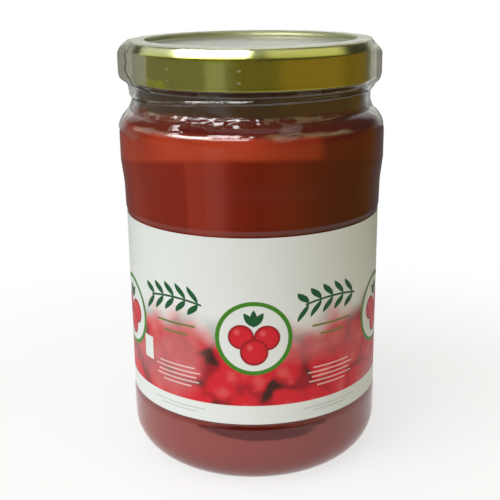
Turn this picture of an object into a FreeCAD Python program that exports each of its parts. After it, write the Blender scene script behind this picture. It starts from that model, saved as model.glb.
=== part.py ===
import FreeCAD, Part
import math
import os
import re

import Sketcher

# A glass jar of tomato paste under a twist-off metal cap, with a wrap-round paper
# label and a clear shrink band over the cap and neck. Millimetres, +Z up, origin at
# the centre of the circle that the jar stands on.

# Sizes that are set by themselves: name -> (value, what it is).
DRIVING = {
    # glass
    "body_radius": (43.85, "outside of the body below the label"),
    "wall": (2.5, "thickness of the glass"),
    "heel_radius": (13.0, "round from the standing ring to the body"),
    "ring_width": (2.0, "flat standing ring"),
    "push_up": (3.2, "hollow under the base"),
    "base_thickness": (4.5, "glass above the standing ring"),
    "inner_heel": (9.0, "round inside the base"),
    "base_dome": (2.0, "rise of the floor inside, at the centre"),
    "panel_depth": (0.35, "step into the label panel"),
    "panel_margin": (0.6, "bare panel above and below the label"),
    "panel_ramp": (1.6, "height of the step below the panel"),
    "shoulder_step": (1.4, "how far the shoulder stands out of the panel"),
    "shoulder_flare": (17.6, "height over which the shoulder swells out"),
    "shoulder_band": (8.4, "straight height at the shoulder's widest"),
    "shoulder_round": (9.0, "outside round of the shoulder"),
    "neck_radius": (39.1, "outside of the neck"),
    "neck_fillet": (3.0, "hollow round between shoulder and neck"),
    "neck_height": (19.7, "straight neck up to the sealing rim"),
    "land_round": (1.0, "rounds on the sealing rim"),
    # label
    "label_bottom": (24.7, "label's lower edge above the standing ring"),
    "label_height": (63.1, "label"),
    "paper": (0.12, "label paper"),
    "lap_angle": (13.0, "glued lap of the label, degrees"),
    # paste
    "fill_gap": (0.1, "between paste and glass"),
    "wide_spread": (26.0, "spread of a broad spoon mark in the paste"),
    "fair_spread": (21.0, "spread of a middling one"),
    "small_spread": (14.0, "spread of a small one"),
    "deep_spoon": (6.0, "depth of the deepest"),
    "fair_spoon": (4.6, "depth of a middling one"),
    "light_spoon": (3.0, "depth of a shallow one"),
    # cap
    "skirt_clear": (0.9, "between the glass ribs and the skirt"),
    "cap_height": (12.7, "edge of the curl to the crest"),
    "sheet": (0.25, "lacquered tinplate"),
    "recess_clear": (0.15, "between the sunk panel's wall and the glass"),
    "recess_drop": (1.6, "sunk panel below the crest"),
    "recess_fillet": (0.5, "round at the foot of the recess wall"),
    "crest_round": (1.2, "rounds of the raised crest"),
    "crest_clear": (0.6, "crest's flat beyond the sealing rim's"),
    "rim_slope": (66.0, "slope of the rim outside the crest, degrees"),
    "corner_round": (1.5, "round between the slope and the skirt"),
    "curl": (0.5, "section radius of the rolled edge"),
    "curl_proud": (0.12, "rolled edge outside the skirt"),
    "lug_clear": (0.35, "between a lug and the neck"),
    "lug_thick": (0.7, "lug"),
    "lug_angle": (12.0, "lug's arc, degrees"),
    "lug_count": (6, "lugs, and ribs on the glass above them"),
    "rib_reach": (1.0, "rib outside the neck"),
    "rib_height": (1.3, "rib"),
    "rib_angle": (42.0, "rib's arc, degrees"),
    "lug_play": (0.15, "between a lug's top and the rib above it"),
    # shrink band
    "film": (0.12, "clear film"),
    "film_gap": (0.15, "between film and what it covers"),
    "film_fold": (2.9, "flat-folded crease outside the skirt"),
    "fold_rise": (2.2, "height over which the crease opens above the cap's edge"),
    "film_overlap": (2.2, "film inside the cap's crest"),
    "film_hem": (1.3, "height of the film that lies on the shoulder"),
    "film_pinch": (0.25, "crease outside the film where it lies on the glass"),
    "film_slack": (0.8, "film off the neck across the creases"),
    "crease_slack": (1.5, "film off the neck at the creases"),
    "film_tuck": (3.0, "height below the cap's edge where the film starts out"),
}

# Sizes that follow: name -> formula in the names above and before it.
WORKED_OUT = {
    "bearing_radius": "body_radius - heel_radius",
    "panel_radius": "body_radius - panel_depth",
    "panel_foot": "label_bottom - panel_margin",
    "panel_head": "label_bottom + label_height + panel_margin",
    "shoulder_radius": "panel_radius + shoulder_step",
    "flare_round": "(shoulder_flare^2 + shoulder_step^2) / (2 * shoulder_step)",
    "shoulder_low": "panel_head + shoulder_flare",
    "shoulder_turn": "shoulder_low + shoulder_band",
    "turn_centre": "shoulder_radius - shoulder_round",
    "hollow_centre": "neck_radius + neck_fillet",
    "turn_across": "hollow_centre - turn_centre",
    "turn_reach": "shoulder_round + neck_fillet",
    "turn_rise": "sqrt(turn_reach^2 - turn_across^2)",
    "neck_start": "shoulder_turn + turn_rise",
    "rim_top": "neck_start + neck_height",
    "bore": "neck_radius - wall",
    "recess_radius": "bore - recess_clear - sheet",
    "cap_radius": "neck_radius + rib_reach + skirt_clear + sheet",
    "cap_top": "rim_top + sheet",
    "cap_edge": "cap_top - cap_height",
    "recess_floor": "cap_top - recess_drop",
    "crest_centre": "recess_radius + crest_round",
    "crest_up": "cap_top - crest_round",
    "corner_centre": "cap_radius - corner_round",
    "crest_outer": "neck_radius - land_round + crest_clear",
    "slope_head": "crest_up + crest_round / cos(rim_slope)",
    "slope_drop": "(corner_centre - crest_outer) * tan(rim_slope)",
    "corner_up": "slope_head - slope_drop - corner_round / cos(rim_slope)",
    "curl_centre": "cap_radius + curl_proud - curl",
    "curl_up": "cap_edge + curl",
    "lug_top": "curl_up + lug_thick / 2",
    "stand_off": "film_gap + film",
    "neck_film": "neck_radius + stand_off",
    "slack_across": "neck_film + film_slack - turn_centre",
    "slack_reach": "sqrt(slack_across^2 + turn_rise^2)",
    "film_round": "shoulder_round + stand_off",
    "film_angle": "atan2(turn_rise; slack_across) - acos(film_round / slack_reach)",
    "film_bend": "film_round * sin(film_angle)",
    "bend_film": "turn_centre + film_round * cos(film_angle)",
    "hem_film": "turn_centre + sqrt(film_round^2 - (film_bend - film_hem)^2)",
    "skirt_film": "cap_radius + curl_proud + stand_off",
    "slope_film": "corner_centre + corner_round * sin(rim_slope) + stand_off",
    "crest_film": "crest_outer + crest_round * sin(rim_slope) + stand_off",
    "film_top": "cap_top + stand_off",
}


def bound(formula):
    """Return a formula with each size written as the sheet and cell that hold it."""

    def full_name(match):
        word = match.group()
        if word in DRIVING:
            return "Sizes." + word
        return "Fits." + word if word in WORKED_OUT else word

    return re.sub(r"[a-z_]+", full_name, formula)


def fill_sheets(doc):
    """Write the driving sizes as plain numbers and the worked-out ones as formulas."""
    sizes = doc.addObject("Spreadsheet::Sheet", "Sizes")
    for row, (name, (value, meaning)) in enumerate(DRIVING.items(), start=1):
        sizes.set(f"A{row}", meaning)
        sizes.set(f"B{row}", str(value))
        sizes.setAlias(f"B{row}", name)
    doc.recompute()
    fits = doc.addObject("Spreadsheet::Sheet", "Fits")
    for row, (name, formula) in enumerate(WORKED_OUT.items(), start=1):
        fits.set(f"A{row}", formula)
        fits.set(f"B{row}", "=" + bound(formula))
        fits.setAlias(f"B{row}", name)
        doc.recompute()
    return sizes


class Builder:
    """Draws sketches and features whose sizes are bound to the sheets."""

    def __init__(self, doc, sizes):
        self.doc = doc
        self.sizes = sizes
        self.bodies = []

    def value(self, formula):
        """Work out a formula from the sheets."""
        return float(self.sizes.evalExpression(bound(formula)))

    def body(self, label):
        """Add a body; its label names the part's file."""
        body = self.doc.addObject("PartDesign::Body", label)
        body.Label = label
        self.bodies.append(body)
        return body

    def sketch(self, body, name, plane, lift=None):
        """Add a sketch on one of the body's own planes, raised by a formula."""
        sketch = body.newObject("Sketcher::SketchObject", name)
        support = next(item for item in body.Origin.OriginFeatures if item.Role == plane)
        sketch.AttachmentSupport = (support, [""])
        sketch.MapMode = "FlatFace"
        if lift:
            sketch.setExpression("AttachmentOffset.Base.z", bound(lift))
        return sketch

    def hold(self, sketch, kind, elements, formula):
        """Add a dimension and bind it; a zero distance puts the point on the axis."""
        if formula == "0":
            axis = -2 if kind == "DistanceX" else -1
            sketch.addConstraint(Sketcher.Constraint("PointOnObject", *elements[-2:], axis))
            return
        index = sketch.addConstraint(
            Sketcher.Constraint(kind, *elements, self.value(formula))
        )
        sketch.setExpression(f"Constraints[{index}]", bound(formula))

    def outline(self, body, name, corners):
        """Draw a closed outline, across and up, on the body's XZ plane.

        Each corner is (across, up, round): round is None for a straight edge to the
        next corner, or a radius formula after "+" (turning left) or "-" (right).
        """
        sketch = self.sketch(body, name, "XZ_Plane")
        places = [
            FreeCAD.Vector(self.value(across), self.value(up), 0)
            for across, up, _ in corners
        ]
        starts = []
        for index, (_, _, rounding) in enumerate(corners):
            first, last = places[index], places[(index + 1) % len(corners)]
            if rounding is None:
                sketch.addGeometry(Part.LineSegment(first, last))
                starts.append((1, 2))
                continue
            radius = self.value(rounding[1:])
            left = rounding[0] == "+"
            sketch.addGeometry(arc_between(first, last, radius, left))
            starts.append((1, 2) if left else (2, 1))
            self.hold(sketch, "Radius", [index], rounding[1:])
        for index, (across, up, _) in enumerate(corners):
            begin = starts[index][0]
            before = (index - 1) % len(corners)
            sketch.addConstraint(
                Sketcher.Constraint("Coincident", before, starts[before][1], index, begin)
            )
            self.hold(sketch, "DistanceX", [-1, 1, index, begin], across)
            self.hold(sketch, "DistanceY", [-1, 1, index, begin], up)
        return sketch

    def turn(self, body, sketch, name, angle=None):
        """Revolve an outline about Z: all the way, or over an angle astride XZ."""
        feature = body.newObject("PartDesign::Revolution", name)
        feature.Profile = sketch
        feature.ReferenceAxis = (sketch, ["V_Axis"])
        feature.Angle = 360.0
        if angle:
            feature.Midplane = True
            feature.setExpression("Angle", bound(angle))
        body.Tip = feature
        self.doc.recompute()
        return feature

    def ring_of(self, body, feature, name, count):
        """Repeat a feature evenly round Z."""
        pattern = body.newObject("PartDesign::PolarPattern", name)
        pattern.Originals = [feature]
        axis = next(item for item in body.Origin.OriginFeatures if item.Role == "Z_Axis")
        pattern.Axis = (axis, [""])
        pattern.Angle = 360.0
        pattern.setExpression("Occurrences", bound(count))
        body.Tip = pattern
        self.doc.recompute()
        return pattern


def arc_between(first, last, radius, left):
    """Return the shorter arc from first to last, turning left or right."""
    chord = last - first
    middle = (first + last) * 0.5
    side = FreeCAD.Vector(-chord.y, chord.x, 0).normalize()
    reach = math.sqrt(max(radius ** 2 - (chord.Length / 2) ** 2, 0.0))
    centre = middle + side * (reach if left else -reach)
    begin, end = (first, last) if left else (last, first)
    angles = [math.atan2(point.y - centre.y, point.x - centre.x) for point in (begin, end)]
    if angles[1] <= angles[0]:
        angles[1] += 2 * math.pi
    circle = Part.Circle(centre, FreeCAD.Vector(0, 0, 1), radius)
    return Part.ArcOfCircle(circle, *angles)


def shoulder_side(inset, upward):
    """Corners of the jar's side from the panel's head to the neck.

    inset is how far inside the jar's outside the side lies; it runs up when upward.
    """
    turn_radius = f"shoulder_round - ({inset})"
    share = f"({turn_radius}) / turn_reach"
    places = [
        (f"panel_radius - ({inset})", "panel_head"),
        (f"shoulder_radius - ({inset})", "shoulder_low"),
        (f"shoulder_radius - ({inset})", "shoulder_turn"),
        (f"turn_centre + turn_across * {share}", f"shoulder_turn + turn_rise * {share}"),
        (f"neck_radius - ({inset})", "neck_start"),
    ]
    rounds = [
        ("-", f"flare_round - ({inset})"),
        None,
        ("+", turn_radius),
        ("-", f"neck_fillet + ({inset})"),
        None,
    ]
    if not upward:
        places.reverse()
        rounds = list(reversed(rounds[:-1])) + [None]
    flip = {"+": "-", "-": "+"}
    corners = []
    for (across, up), edge in zip(places, rounds):
        if edge is None:
            corners.append((across, up, None))
            continue
        side, radius = edge
        corners.append((across, up, (side if upward else flip[side]) + radius))
    return corners


def build_glass(build):
    """The jar: push-up base, heel, label panel, swelling shoulder, neck and ribs."""
    body = build.body("glass_jar")
    corners = [
        ("0", "push_up", "-((bearing_radius - ring_width)^2 + push_up^2) / (2 * push_up)"),
        ("bearing_radius - ring_width", "0", None),
        ("bearing_radius", "0", "+heel_radius"),
        ("body_radius", "heel_radius", None),
        ("body_radius", "panel_foot - panel_ramp", None),
        ("panel_radius", "panel_foot", None),
        *shoulder_side("0", upward=True),
        ("neck_radius", "rim_top - land_round", "+land_round"),
        ("neck_radius - land_round", "rim_top", None),
        ("bore + land_round", "rim_top", "+land_round"),
        ("bore", "rim_top - land_round", None),
        *shoulder_side("wall", upward=False),
        *floor_inside("0"),
    ]
    build.turn(body, build.outline(body, "JarOutline", corners), "JarWall")
    rib_foot = "lug_top + lug_play"
    rib = [
        ("neck_radius - wall / 2", rib_foot, None),
        ("neck_radius + rib_reach", rib_foot, None),
        ("neck_radius + rib_reach", f"{rib_foot} + rib_height / 2", None),
        ("neck_radius - wall / 2", f"{rib_foot} + rib_height", None),
    ]
    sketch = build.outline(body, "RibOutline", rib)
    single = build.turn(body, sketch, "Rib", "rib_angle")
    build.ring_of(body, single, "Ribs", "lug_count")
    return body


def floor_inside(clear):
    """Corners of the space inside the jar from the foot of its wall to the axis."""
    return [
        (
            f"panel_radius - wall - ({clear})",
            "base_thickness + inner_heel",
            f"-inner_heel - ({clear})",
        ),
        (
            "panel_radius - wall - inner_heel",
            f"base_thickness + ({clear})",
            "+((panel_radius - wall - inner_heel)^2 + base_dome^2) / (2 * base_dome)",
        ),
        ("0", f"base_thickness + base_dome + ({clear})", None),
    ]


# Spoon marks in the paste's top: direction in degrees, distance from the axis, and
# the names of the sizes that give the dish's spread and depth.
SPOON_MARKS = (
    (-92.0, 33.0, "wide_spread", "deep_spoon"),
    (-20.0, 22.0, "wide_spread", "fair_spoon"),
    (60.0, 24.0, "fair_spread", "fair_spoon"),
    (130.0, 15.0, "fair_spread", "light_spoon"),
    (-145.0, 20.0, "small_spread", "light_spoon"),
)


def build_paste(build):
    """The paste: it fills the jar and clings to the wall round a spooned-out top."""
    body = build.body("tomato_paste")
    clear = "wall + fill_gap"
    corners = [
        *shoulder_side(clear, upward=False),
        *floor_inside("fill_gap"),
        ("0", "neck_start", None),
    ]
    build.turn(body, build.outline(body, "PasteOutline", corners), "Filling")
    for number, (angle, distance, spread, depth) in enumerate(SPOON_MARKS, start=1):
        mark = body.newObject("PartDesign::SubtractiveSphere", f"SpoonMark{number}")
        radius = f"({spread}^2 + {depth}^2) / (2 * {depth})"
        turn = math.radians(angle)
        mark.Placement.Base = FreeCAD.Vector(
            distance * math.cos(turn), distance * math.sin(turn), 0
        )
        mark.setExpression("Radius", bound(radius))
        mark.setExpression("Placement.Base.z", bound(f"neck_start + {radius} - {depth}"))
        body.Tip = mark
        build.doc.recompute()
    return body


def build_cap(build):
    """The twist-off cap: sunk panel, crest, sloped rim, skirt, curl and lugs."""
    body = build.body("cap")
    crest_x = "crest_outer + (crest_round{0}) * sin(rim_slope)"
    crest_z = "crest_up + (crest_round{0}) * cos(rim_slope)"
    corner_x = "corner_centre + (corner_round{0}) * sin(rim_slope)"
    corner_z = "corner_up + (corner_round{0}) * cos(rim_slope)"
    inside = " - sheet"
    corners = [
        ("0", "recess_floor - sheet", None),
        ("recess_radius - recess_fillet", "recess_floor - sheet", "+recess_fillet + sheet"),
        ("recess_radius + sheet", "recess_floor + recess_fillet", None),
        ("recess_radius + sheet", "crest_up", "-crest_round - sheet"),
        ("crest_centre", "cap_top - sheet", None),
        ("crest_outer", "cap_top - sheet", "-crest_round - sheet"),
        (crest_x.format(inside), crest_z.format(inside), None),
        (corner_x.format(inside), corner_z.format(inside), "-corner_round - sheet"),
        ("cap_radius - sheet", "corner_up", None),
        ("cap_radius - sheet", "curl_up + curl", None),
        ("curl_centre", "curl_up + curl", "+curl"),
        ("curl_centre - curl", "curl_up", "+curl"),
        ("curl_centre", "cap_edge", "+curl"),
        ("curl_centre + curl", "curl_up", None),
        ("cap_radius", "curl_up + curl", None),
        ("cap_radius", "corner_up", "+corner_round"),
        (corner_x.format(""), corner_z.format(""), None),
        (crest_x.format(""), crest_z.format(""), "+crest_round"),
        ("crest_outer", "cap_top", None),
        ("crest_centre", "cap_top", "+crest_round"),
        ("recess_radius", "crest_up", None),
        ("recess_radius", "recess_floor + recess_fillet", "-recess_fillet"),
        ("recess_radius - recess_fillet", "recess_floor", None),
        ("0", "recess_floor", None),
    ]
    build.turn(body, build.outline(body, "CapOutline", corners), "CapSheet")
    lug = [
        ("neck_radius + lug_clear", "curl_up - lug_thick / 2", None),
        ("curl_centre", "curl_up - lug_thick / 2", None),
        ("curl_centre", "curl_up + lug_thick / 2", None),
        ("neck_radius + lug_clear", "curl_up + lug_thick / 2", None),
    ]
    single = build.turn(body, build.outline(body, "LugOutline", lug), "Lug", "lug_angle")
    build.ring_of(body, single, "Lugs", "lug_count")
    return body


def build_label(build):
    """The label: paper once round the panel, with a glued lap at the back."""
    body = build.body("label")
    head = "label_bottom + label_height"

    def strip(name, inner, outer):
        return build.outline(
            body,
            name,
            [
                (inner, "label_bottom", None),
                (outer, "label_bottom", None),
                (outer, head, None),
                (inner, head, None),
            ],
        )

    build.turn(body, strip("WrapOutline", "panel_radius", "panel_radius + paper"), "Wrap")
    lap = strip("LapOutline", "panel_radius + paper / 2", "panel_radius + 2 * paper")
    build.turn(body, lap, "Lap", "lap_angle")
    body.Placement = FreeCAD.Placement(
        FreeCAD.Vector(0, 0, 0), FreeCAD.Rotation(FreeCAD.Vector(0, 0, 1), 90)
    )
    return body


# Rings of the shrink band from its hem up: height, half width at the folded creases
# and half width across them.
FILM_RINGS = (
    ("shoulder_turn + film_bend - film_hem", "hem_film + film_pinch", "hem_film"),
    ("shoulder_turn + film_bend", "bend_film + film_pinch", "bend_film"),
    ("neck_start", "neck_film + crease_slack", "neck_film + film_slack"),
    ("cap_edge - film_tuck", "neck_film + crease_slack", "neck_film + film_slack"),
    ("cap_edge", "skirt_film + film_fold / 2", "skirt_film"),
    ("cap_edge + fold_rise", "skirt_film + film_fold", "skirt_film"),
    ("corner_up", "skirt_film + film_fold", "skirt_film"),
    ("corner_up + corner_round", "slope_film + film_fold / 2", "slope_film"),
    ("film_top", "crest_film + film_slack", "crest_film"),
)


def lens(build, body, name, lift, fold, across):
    """Draw two arcs that meet in creases on the X axis."""
    sketch = build.sketch(body, name, "XY_Plane", lift)
    wide, narrow = build.value(fold), build.value(across)
    radius = (wide ** 2 + narrow ** 2) / (2 * narrow)
    ends = [FreeCAD.Vector(-wide, 0, 0), FreeCAD.Vector(wide, 0, 0)]
    sketch.addGeometry(arc_between(ends[0], ends[1], radius, True))
    sketch.addGeometry(arc_between(ends[1], ends[0], radius, True))
    for first, second in ((0, 1), (1, 0)):
        sketch.addConstraint(Sketcher.Constraint("Coincident", first, 2, second, 1))
    sketch.addConstraint(Sketcher.Constraint("Symmetric", 0, 1, 0, 2, -1, 1))
    sketch.addConstraint(Sketcher.Constraint("PointOnObject", 0, 2, -1))
    build.hold(sketch, "DistanceX", [-1, 1, 0, 2], fold)
    rule = f"(({fold})^2 + ({across})^2) / (2 * ({across}))"
    build.hold(sketch, "Radius", [0], rule)
    build.hold(sketch, "Radius", [1], rule)
    return sketch


def build_band(build):
    """The shrink band: a creased tube drawn in over cap, neck and shoulder."""
    body = build.body("shrink_band")
    for kind, name, inset, drop in (
        ("PartDesign::AdditiveLoft", "Outer", "0", "0"),
        ("PartDesign::SubtractiveLoft", "Inner", "film", "film"),
    ):
        rings = []
        for number, (lift, fold, across) in enumerate(FILM_RINGS, start=1):
            top = number == len(FILM_RINGS)
            height = f"{lift} - {drop}" if top else lift
            rings.append(
                lens(
                    build,
                    body,
                    f"{name}Ring{number}",
                    height,
                    f"{fold} - {inset}",
                    f"{across} - {inset}",
                )
            )
        build.doc.recompute()
        loft = body.newObject(kind, name + "Film")
        loft.Profile = rings[0]
        loft.Sections = rings[1:]
        loft.Ruled = True
        body.Tip = loft
        build.doc.recompute()
    mouth = build.sketch(body, "MouthCircle", "XY_Plane", "film_top + film")
    radius = build.value("recess_radius + crest_round - film_overlap")
    circle = Part.Circle(FreeCAD.Vector(), FreeCAD.Vector(0, 0, 1), radius)
    mouth.addGeometry(circle)
    mouth.addConstraint(Sketcher.Constraint("Coincident", 0, 3, -1, 1))
    build.hold(mouth, "Radius", [0], "recess_radius + crest_round - film_overlap")
    cut = body.newObject("PartDesign::Pocket", "Mouth")
    cut.Profile = mouth
    cut.setExpression("Length", bound("3 * film"))
    body.Tip = cut
    build.doc.recompute()
    return body


def check(doc, bodies):
    """Stop if any object failed or any part isn't one valid solid."""
    for item in doc.Objects:
        if "Invalid" in item.State or "Error" in item.State:
            raise RuntimeError(f"{item.Name} failed: {item.State}")
    for body in bodies:
        shape = body.Shape
        if shape.isNull() or not shape.isValid() or len(shape.Solids) != 1:
            raise RuntimeError(f"{body.Label} isn't one valid solid")


def main():
    doc = FreeCAD.newDocument("TomatoPasteJar")
    build = Builder(doc, fill_sheets(doc))
    build_glass(build)
    build_paste(build)
    build_cap(build)
    build_label(build)
    build_band(build)
    doc.recompute()
    check(doc, build.bodies)
    os.makedirs("parts", exist_ok=True)
    for body in build.bodies:
        body.Shape.exportStep(os.path.join("parts", body.Label + ".step"))
        box = body.Shape.optimalBoundingBox()
        print(
            f"{body.Label}: {body.Shape.Volume / 1000:.2f} cm3, "
            f"{len(body.Shape.Faces)} faces, z {box.ZMin:.2f} to {box.ZMax:.2f}, "
            f"half width {box.XMax:.2f} {box.YMax:.2f}"
        )


main()
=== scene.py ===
"""Looks of a sealed jar of tomato paste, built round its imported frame.

The jar stands at the origin with +Z up. Lengths are in millimetres until a mesh is made,
and every finished piece lies in the frame's own metres. Angles round the jar are in degrees
from its front, positive towards +X.
"""

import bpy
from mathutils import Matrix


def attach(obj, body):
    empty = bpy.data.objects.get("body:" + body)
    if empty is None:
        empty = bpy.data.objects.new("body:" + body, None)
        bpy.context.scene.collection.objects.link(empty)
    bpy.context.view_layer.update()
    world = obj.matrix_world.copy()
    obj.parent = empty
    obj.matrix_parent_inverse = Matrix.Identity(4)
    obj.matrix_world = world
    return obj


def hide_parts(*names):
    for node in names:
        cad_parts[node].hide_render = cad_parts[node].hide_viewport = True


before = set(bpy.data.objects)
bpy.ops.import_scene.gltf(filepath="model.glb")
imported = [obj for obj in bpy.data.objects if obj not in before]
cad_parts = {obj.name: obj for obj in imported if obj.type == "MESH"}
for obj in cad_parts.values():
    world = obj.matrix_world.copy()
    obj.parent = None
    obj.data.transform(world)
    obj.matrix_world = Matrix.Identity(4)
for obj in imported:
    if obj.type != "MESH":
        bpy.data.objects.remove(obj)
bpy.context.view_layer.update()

import ast
import logging
import math
from collections.abc import Callable
from dataclasses import dataclass, field
from enum import Enum

import bmesh
import bpy
import numpy as np
from mathutils import Matrix, Vector, noise

MM = 0.001
ROOT = "root"
MERGE = 1e-6
FULL_TURN = 2 * math.pi
LOG = logging.getLogger("jar")

Point = tuple[float, float]
Feed = bpy.types.NodeSocket | bpy.types.Node | float | tuple | str


class Slot(Enum):
    """The record's material slots."""

    JAR_GLASS = "jar_glass"
    PASTE = "paste"
    CAP_METAL = "cap_metal"
    LABEL_PAPER = "label_paper"
    CLEAR_FILM = "clear_film"


# ---------------------------------------------------------------- colours and nodes


def srgb(code: str) -> tuple[float, float, float, float]:
    """Turns a hex colour into linear light.

    Args:
        code: six hex digits, red first.

    Returns:
        Linear red, green, blue and a full alpha.
    """
    parts = [int(code[i:i + 2], 16) / 255 for i in (0, 2, 4)]
    linear = [c / 12.92 if c <= 0.04045 else ((c + 0.055) / 1.055) ** 2.4 for c in parts]
    return (*linear, 1.0)


def feed(tree: bpy.types.NodeTree, node: bpy.types.Node, feeds: dict[str | int, Feed]) -> None:
    """Links or sets a node's inputs.

    Args:
        tree: the node tree.
        node: the node that is fed.
        feeds: for each input, a socket, a node whose first output is meant, a plain value, or
            a colour's hex digits.
    """
    for name, value in feeds.items():
        if isinstance(value, bpy.types.Node):
            value = value.outputs[0]
        if isinstance(value, bpy.types.NodeSocket):
            tree.links.new(value, node.inputs[name])
        else:
            node.inputs[name].default_value = srgb(value) if isinstance(value, str) else value


def put(tree: bpy.types.NodeTree, kind: str, feeds: dict | None = None, **settings) -> bpy.types.Node:
    """Adds a node with its settings and what feeds it.

    Args:
        tree: the node tree that takes the node.
        kind: the node's type name.
        feeds: what each input is linked or set to.
        settings: the node's own properties.

    Returns:
        The new node.
    """
    node = tree.nodes.new(kind)
    for name, value in settings.items():
        setattr(node, name, value)
    feed(tree, node, feeds or {})
    return node


SIGNS = {ast.Add: "ADD", ast.Sub: "SUBTRACT", ast.Mult: "MULTIPLY", ast.Div: "DIVIDE"}
WORDS = {"abs": "ABSOLUTE", "min": "MINIMUM", "max": "MAXIMUM", "sqrt": "SQRT", "pow": "POWER",
         "cos": "COSINE", "atan2": "ARCTAN2", "radians": "RADIANS", "degrees": "DEGREES", "wrap": "WRAP"}


def formula(tree: bpy.types.NodeTree, text: str, **fields: Feed) -> Feed:
    """Works a formula out with nodes.

    Besides the sums and the WORDS above, fade(x, a, b) rises smoothly from 0 at a to 1 at b.

    Args:
        tree: the node tree that takes the nodes.
        text: the formula, as written in Python.
        fields: what its names stand for.

    Returns:
        The socket, or the number, with the result.
    """
    def work(part: ast.AST) -> Feed:
        """Works out one part of the formula.

        Args:
            part: the part, as Python's parser gives it.

        Returns:
            The socket or number with its result.
        """
        if isinstance(part, ast.Constant):
            return float(part.value)
        if isinstance(part, ast.Name):
            return fields[part.id]
        if isinstance(part, ast.UnaryOp):
            terms, sign = [0.0, work(part.operand)], "SUBTRACT"
        elif isinstance(part, ast.BinOp):
            terms, sign = [work(part.left), work(part.right)], SIGNS[type(part.op)]
        elif part.func.id == "fade":
            value, low, high = (work(term) for term in part.args)
            feeds = {"Value": value, "From Min": low, "From Max": high}
            return put(tree, "ShaderNodeMapRange", feeds, interpolation_type="SMOOTHSTEP").outputs[0]
        else:
            terms, sign = [work(term) for term in part.args], WORDS[part.func.id]
        return put(tree, "ShaderNodeMath", dict(enumerate(terms)), operation=sign).outputs[0]

    return work(ast.parse(text).body[0].value)


def painted(tree: bpy.types.NodeTree, ground: Feed, *layers: tuple[Feed, Feed], **fields: Feed) -> Feed:
    """Lays colours over a ground, each where its mask is 1.

    Args:
        tree: the node tree that takes the nodes.
        ground: the lowest colour.
        layers: pairs of a colour and its mask, lowest first. A mask may be a formula.
        fields: what the names in the formulas stand for.

    Returns:
        The colour that shows.
    """
    for colour, mask in layers:
        where = formula(tree, mask, **fields) if isinstance(mask, str) else mask
        ground = put(tree, "ShaderNodeMix", {0: where, 6: ground, 7: colour}, data_type="RGBA").outputs[2]
    return ground


def pattern(place: Feed, size_mm: float, **more: Feed) -> dict[str, Feed]:
    """Gives a pattern's node its place, its scale from a real size in mm, and more feeds."""
    return {"Vector": place, "Scale": 1 / (size_mm * MM), **more}


def fresh_material(name: str) -> tuple[bpy.types.Material, bpy.types.NodeTree, bpy.types.Node]:
    """Starts a material.

    Args:
        name: the finish's plain name.

    Returns:
        The material, its node tree and its Principled shader.
    """
    material = bpy.data.materials.new(name)
    material.use_nodes = True
    tree = material.node_tree
    return material, tree, tree.nodes["Principled BSDF"]


def round_the_jar(tree: bpy.types.NodeTree) -> dict[str, Feed]:
    """Gives the place on the jar: angle from the front in degrees, up and across in mm.

    Args:
        tree: the node tree that takes the nodes.

    Returns:
        Sockets "angle", "up" and "across", and "place", the point itself.
    """
    place = put(tree, "ShaderNodeTexCoord").outputs["Object"]
    x, y, z = put(tree, "ShaderNodeSeparateXYZ", {0: place}).outputs
    return {"angle": formula(tree, "degrees(atan2(x, 0 - y))", x=x, y=y),
            "up": formula(tree, "z * 1000", z=z),
            "across": formula(tree, "sqrt(x * x + y * y) * 1000", x=x, y=y),
            "place": place}


def let_light_in(tree: bpy.types.NodeTree, shader: bpy.types.Node, share: float) -> None:
    """Lets lamps and soft light reach what stands behind a clear surface.

    Args:
        tree: the clear material's tree.
        shader: its own shader.
        share: how much of the light goes through.
    """
    path = put(tree, "ShaderNodeLightPath").outputs
    clear = put(tree, "ShaderNodeBsdfTransparent", {0: (share, share, share, 1.0)})
    either = formula(tree, "max(a, b)", a=path["Is Shadow Ray"], b=path["Is Diffuse Ray"])
    mixed = put(tree, "ShaderNodeMixShader", {0: either, 1: shader, 2: clear})
    feed(tree, tree.nodes["Material Output"], {0: mixed})


# ---------------------------------------------------------------- shaping


@dataclass(frozen=True)
class Corner:
    """A corner of an outline, in mm: how far from the axis, how high, and its rounding."""

    across: float
    up: float
    round: float = 0.0


def rounded(corners: list[Corner], turn: float = 6.0, stretch: float = 4.0) -> list[Point]:
    """Rounds an outline's corners and divides its long straight runs.

    Args:
        corners: the outline's corners in order.
        turn: degrees that each short piece of an arc turns by.
        stretch: the longest straight piece in mm.

    Returns:
        Points (across, up) in mm.
    """
    points: list[Point] = []
    last = len(corners) - 1
    for i, corner in enumerate(corners):
        here = Vector((corner.across, corner.up))
        if corner.round <= 0 or i in (0, last):
            points.append(tuple(here))
            continue
        before = (Vector((corners[i - 1].across, corners[i - 1].up)) - here).normalized()
        after = (Vector((corners[i + 1].across, corners[i + 1].up)) - here).normalized()
        half = before.angle(after) / 2
        centre = here + (before + after).normalized() * (corner.round / math.sin(half))
        start = here + before * (corner.round / math.tan(half)) - centre
        bend = math.pi - 2 * half
        side = 1 if before.x * after.y - before.y * after.x < 0 else -1
        count = max(2, math.ceil(math.degrees(bend) / turn))
        for k in range(count + 1):
            points.append(tuple(centre + Matrix.Rotation(side * bend * k / count, 2) @ start))
    dense = [points[0]]
    for a, b in zip(points, points[1:]):
        count = max(1, math.ceil(math.dist(a, b) / stretch))
        dense += [(a[0] + (b[0] - a[0]) * k / count, a[1] + (b[1] - a[1]) * k / count)
                  for k in range(1, count + 1)]
    return dense


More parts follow.
